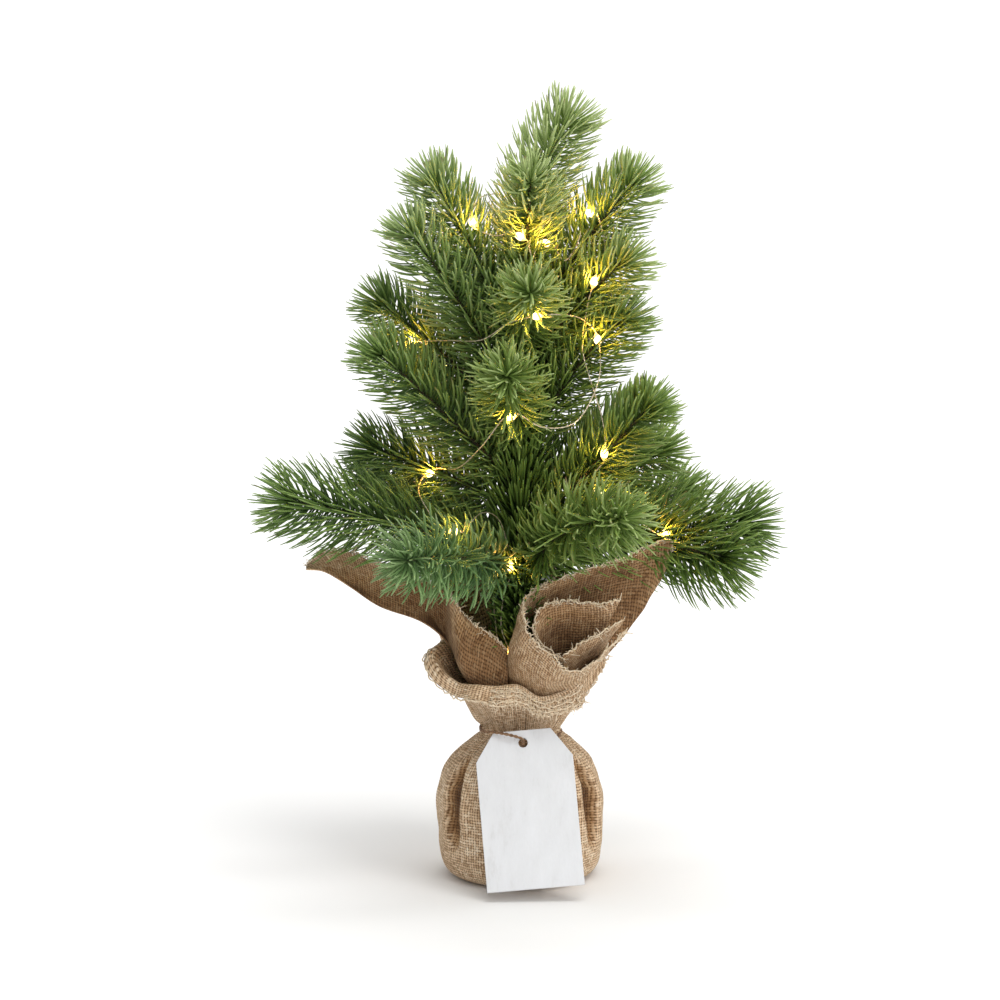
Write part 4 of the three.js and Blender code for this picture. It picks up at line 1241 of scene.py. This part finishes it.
BEAD_PROFILE = [
    (0.42, -4.0), (0.7, -3.6), (1.2, -3.0), (1.7, -2.1), (2.05, -1.1), (2.15, -0.1), (2.0, 1.0),
    (1.55, 2.1), (0.95, 3.0), (0.55, 3.6), (0.42, 3.9),
]
BEAD_CORE = (3, 8)  # the rings of its profile between which the diode glows brightest
STRAND_RADIUS = 0.2 * MM
STRAND_OFFSET = 0.21 * MM
STRAND_PITCH = 7 * MM
LED_POWER = 0.028
LED_COLOR = (1.0, 0.47, 0.07)
HIDDEN_BEAD = "led_01"  # it sits in the folds, so it lights nothing that shows
STRAND_STEP = 0.9 * MM


def body_of_node(node):
    for body, nodes in frame["record"]["behaviour"]["bodies"].items():
        if node in nodes:
            return body
    return "root"


def make_light_string(wire, glow):
    stops = [(name, np.array(place) * MM) for name, place in STRING]
    points, marks = [], []
    for index, (name, place) in enumerate(stops):
        if name is None:
            points.append(place)
            continue
        after = stops[min(index + 1, len(stops) - 1)][1]
        along = unit(after - stops[index - 1][1])
        marks.append((name, len(points) + 1, place, along))
        points.extend(place + side * BEAD_REACH * along for side in (-1, 0, 1))
    steps = 12
    path = smooth_path(np.array(points), steps)
    pieces = {}
    for name, _, place, along in marks:
        pieces[name] = make_bead(name, place, along, glow)
    first = marks[0]
    make_strand("wire_lead", path[:first[1] * steps + 1], "root", body_of_node(first[0]), wire)
    for (name, start, *_), (after, end, *_) in zip(marks, marks[1:]):
        stretch = path[start * steps:end * steps + 1]
        make_strand(f"wire_{name[-2:]}_{after[-2:]}", stretch, body_of_node(name), body_of_node(after), wire)


def make_strand(name, path, body_a, body_b, wire):
    """A stretch of wire between two beads. It hangs between their branches, so each half bends
    with its own branch and both meet where they ride on the trunk."""
    path = even_path(path, STRAND_STEP)
    if body_a == body_b:
        halves = [(name, path, body_a, None)]
    else:
        middle = len(path) // 2
        halves = [
            (f"{name}_a", path[:middle + 1], body_a, False),
            (f"{name}_b", path[middle:], body_b, True),
        ]
    turn = 0.0
    for piece_name, stretch, body, towards in halves:
        patch = Patchwork()
        twisted_pair(patch, stretch, turn)
        turn += len(stretch) - 1
        piece = patch.build(piece_name, [wire])
        if towards is None or body == "root":
            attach(piece, body)
        elif towards:
            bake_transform(piece, "root", body, start=tuple(stretch[0]), end=tuple(stretch[-1]))
        else:
            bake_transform(piece, body, "root", start=tuple(stretch[0]), end=tuple(stretch[-1]))


def twisted_pair(patch, path, turn):
    lengths = np.arange(len(path)) + turn
    side = unit(np.cross(unit(np.gradient(path, axis=0)), UP + 0.05))
    face = np.cross(side, unit(np.gradient(path, axis=0)))
    for strand in (0, 1):
        angle = (2 * np.pi * (lengths * STRAND_STEP / STRAND_PITCH + strand / 2))[:, None]
        add_tube(patch, path + STRAND_OFFSET * swing(angle, side, face), STRAND_RADIUS, 5)


def make_bead(name, place, along, glow):
    patch = Patchwork()
    matrix = Matrix.Translation(place) @ Vector(along).to_track_quat("Z", "Y").to_matrix().to_4x4()
    profile = np.array(BEAD_PROFILE) * MM
    low, high = BEAD_CORE
    for rings, material in ((profile[:low + 1], 0), (profile[low:high], 1), (profile[high - 1:], 0)):
        add_turned(patch, rings, matrix, material=material)
    bead = patch.build(f"bead_{name[-2:]}", glow)
    body = body_of_node(name)
    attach(bead, body)
    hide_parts(name)
    data = bpy.data.lights.new(f"glow_{name[-2:]}", "POINT")
    data.energy = 0.1 * LED_POWER if name == HIDDEN_BEAD else LED_POWER
    data.color = LED_COLOR
    data.shadow_soft_size = 2.5 * MM
    light = bpy.data.objects.new(data.name, data)
    bpy.context.scene.collection.objects.link(light)
    light.location = Vector(place) + Vector((0, -3.4 * MM, 1.0 * MM))
    light.parent = bead
    return bead


# ---------------------------------------------------------------------------------------------
# CAD nodes that keep their shape
# ---------------------------------------------------------------------------------------------


def dress_cad_nodes():
    steel = plain_material(
        "plain_steel", (0.42, 0.42, 0.43), (0.55, 0.55, 0.56), 300.0, 0.35, 0.95, 0.00005,
    )
    cement = plain_material(
        "cement", (0.36, 0.34, 0.31), (0.52, 0.50, 0.46), 160.0, 0.9, 0.0, 0.0006,
    )
    pot = plain_material(
        "pot_plastic", (0.025, 0.025, 0.025), (0.04, 0.04, 0.038), 500.0, 0.5, 0.0, 0.0001,
    )
    case = plain_material(
        "box_plastic", (0.014, 0.045, 0.022), (0.022, 0.062, 0.032), 1400.0, 0.5, 0.0, 0.00012,
    )
    switch = plain_material(
        "switch_plastic", (0.012, 0.012, 0.012), (0.02, 0.02, 0.02), 900.0, 0.4, 0.0, 0.00005,
    )
    jacket = plain_material(
        "cell_sleeve", (0.20, 0.21, 0.23), (0.26, 0.27, 0.29), 60.0, 0.25, 0.5, 0.0, coat=0.6,
    )
    dress = {
        "trunk_rod": steel, "contact_bottom": steel, "contact_top": steel, "base_weight": cement,
        "weight_pot": pot, "battery_case": case, "battery_lid": case, "switch_knob": switch,
        "cell_left": jacket, "cell_right": jacket, "trunk_tape": tape_material(),
    }
    for name, material in dress.items():
        mesh = frame["nodes"][name].data
        mesh.materials.clear()
        mesh.materials.append(material)


# ---------------------------------------------------------------------------------------------

add_camera()
add_stage()
glow = [
    bead_material("lit_resin", (1.0, 0.56, 0.12), 1.6),
    bead_material("lit_core", (1.0, 0.78, 0.36), 5.0),
]
make_light_string(wire_material(), glow)
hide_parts("light_wire")
leaves = [needle_material(), stem_material()]
make_sprays(leaves)
make_trunk_needles(leaves)
make_wrap(weave_material(), jute_thread_material("jute_ends", (0.62, 0.46, 0.29), (0.95, 0.84, 0.66)))
make_twine(jute_thread_material("brown_twine", (0.115, 0.055, 0.022), (0.36, 0.21, 0.11)))
make_tag(tag_material())
dress_cad_nodes()
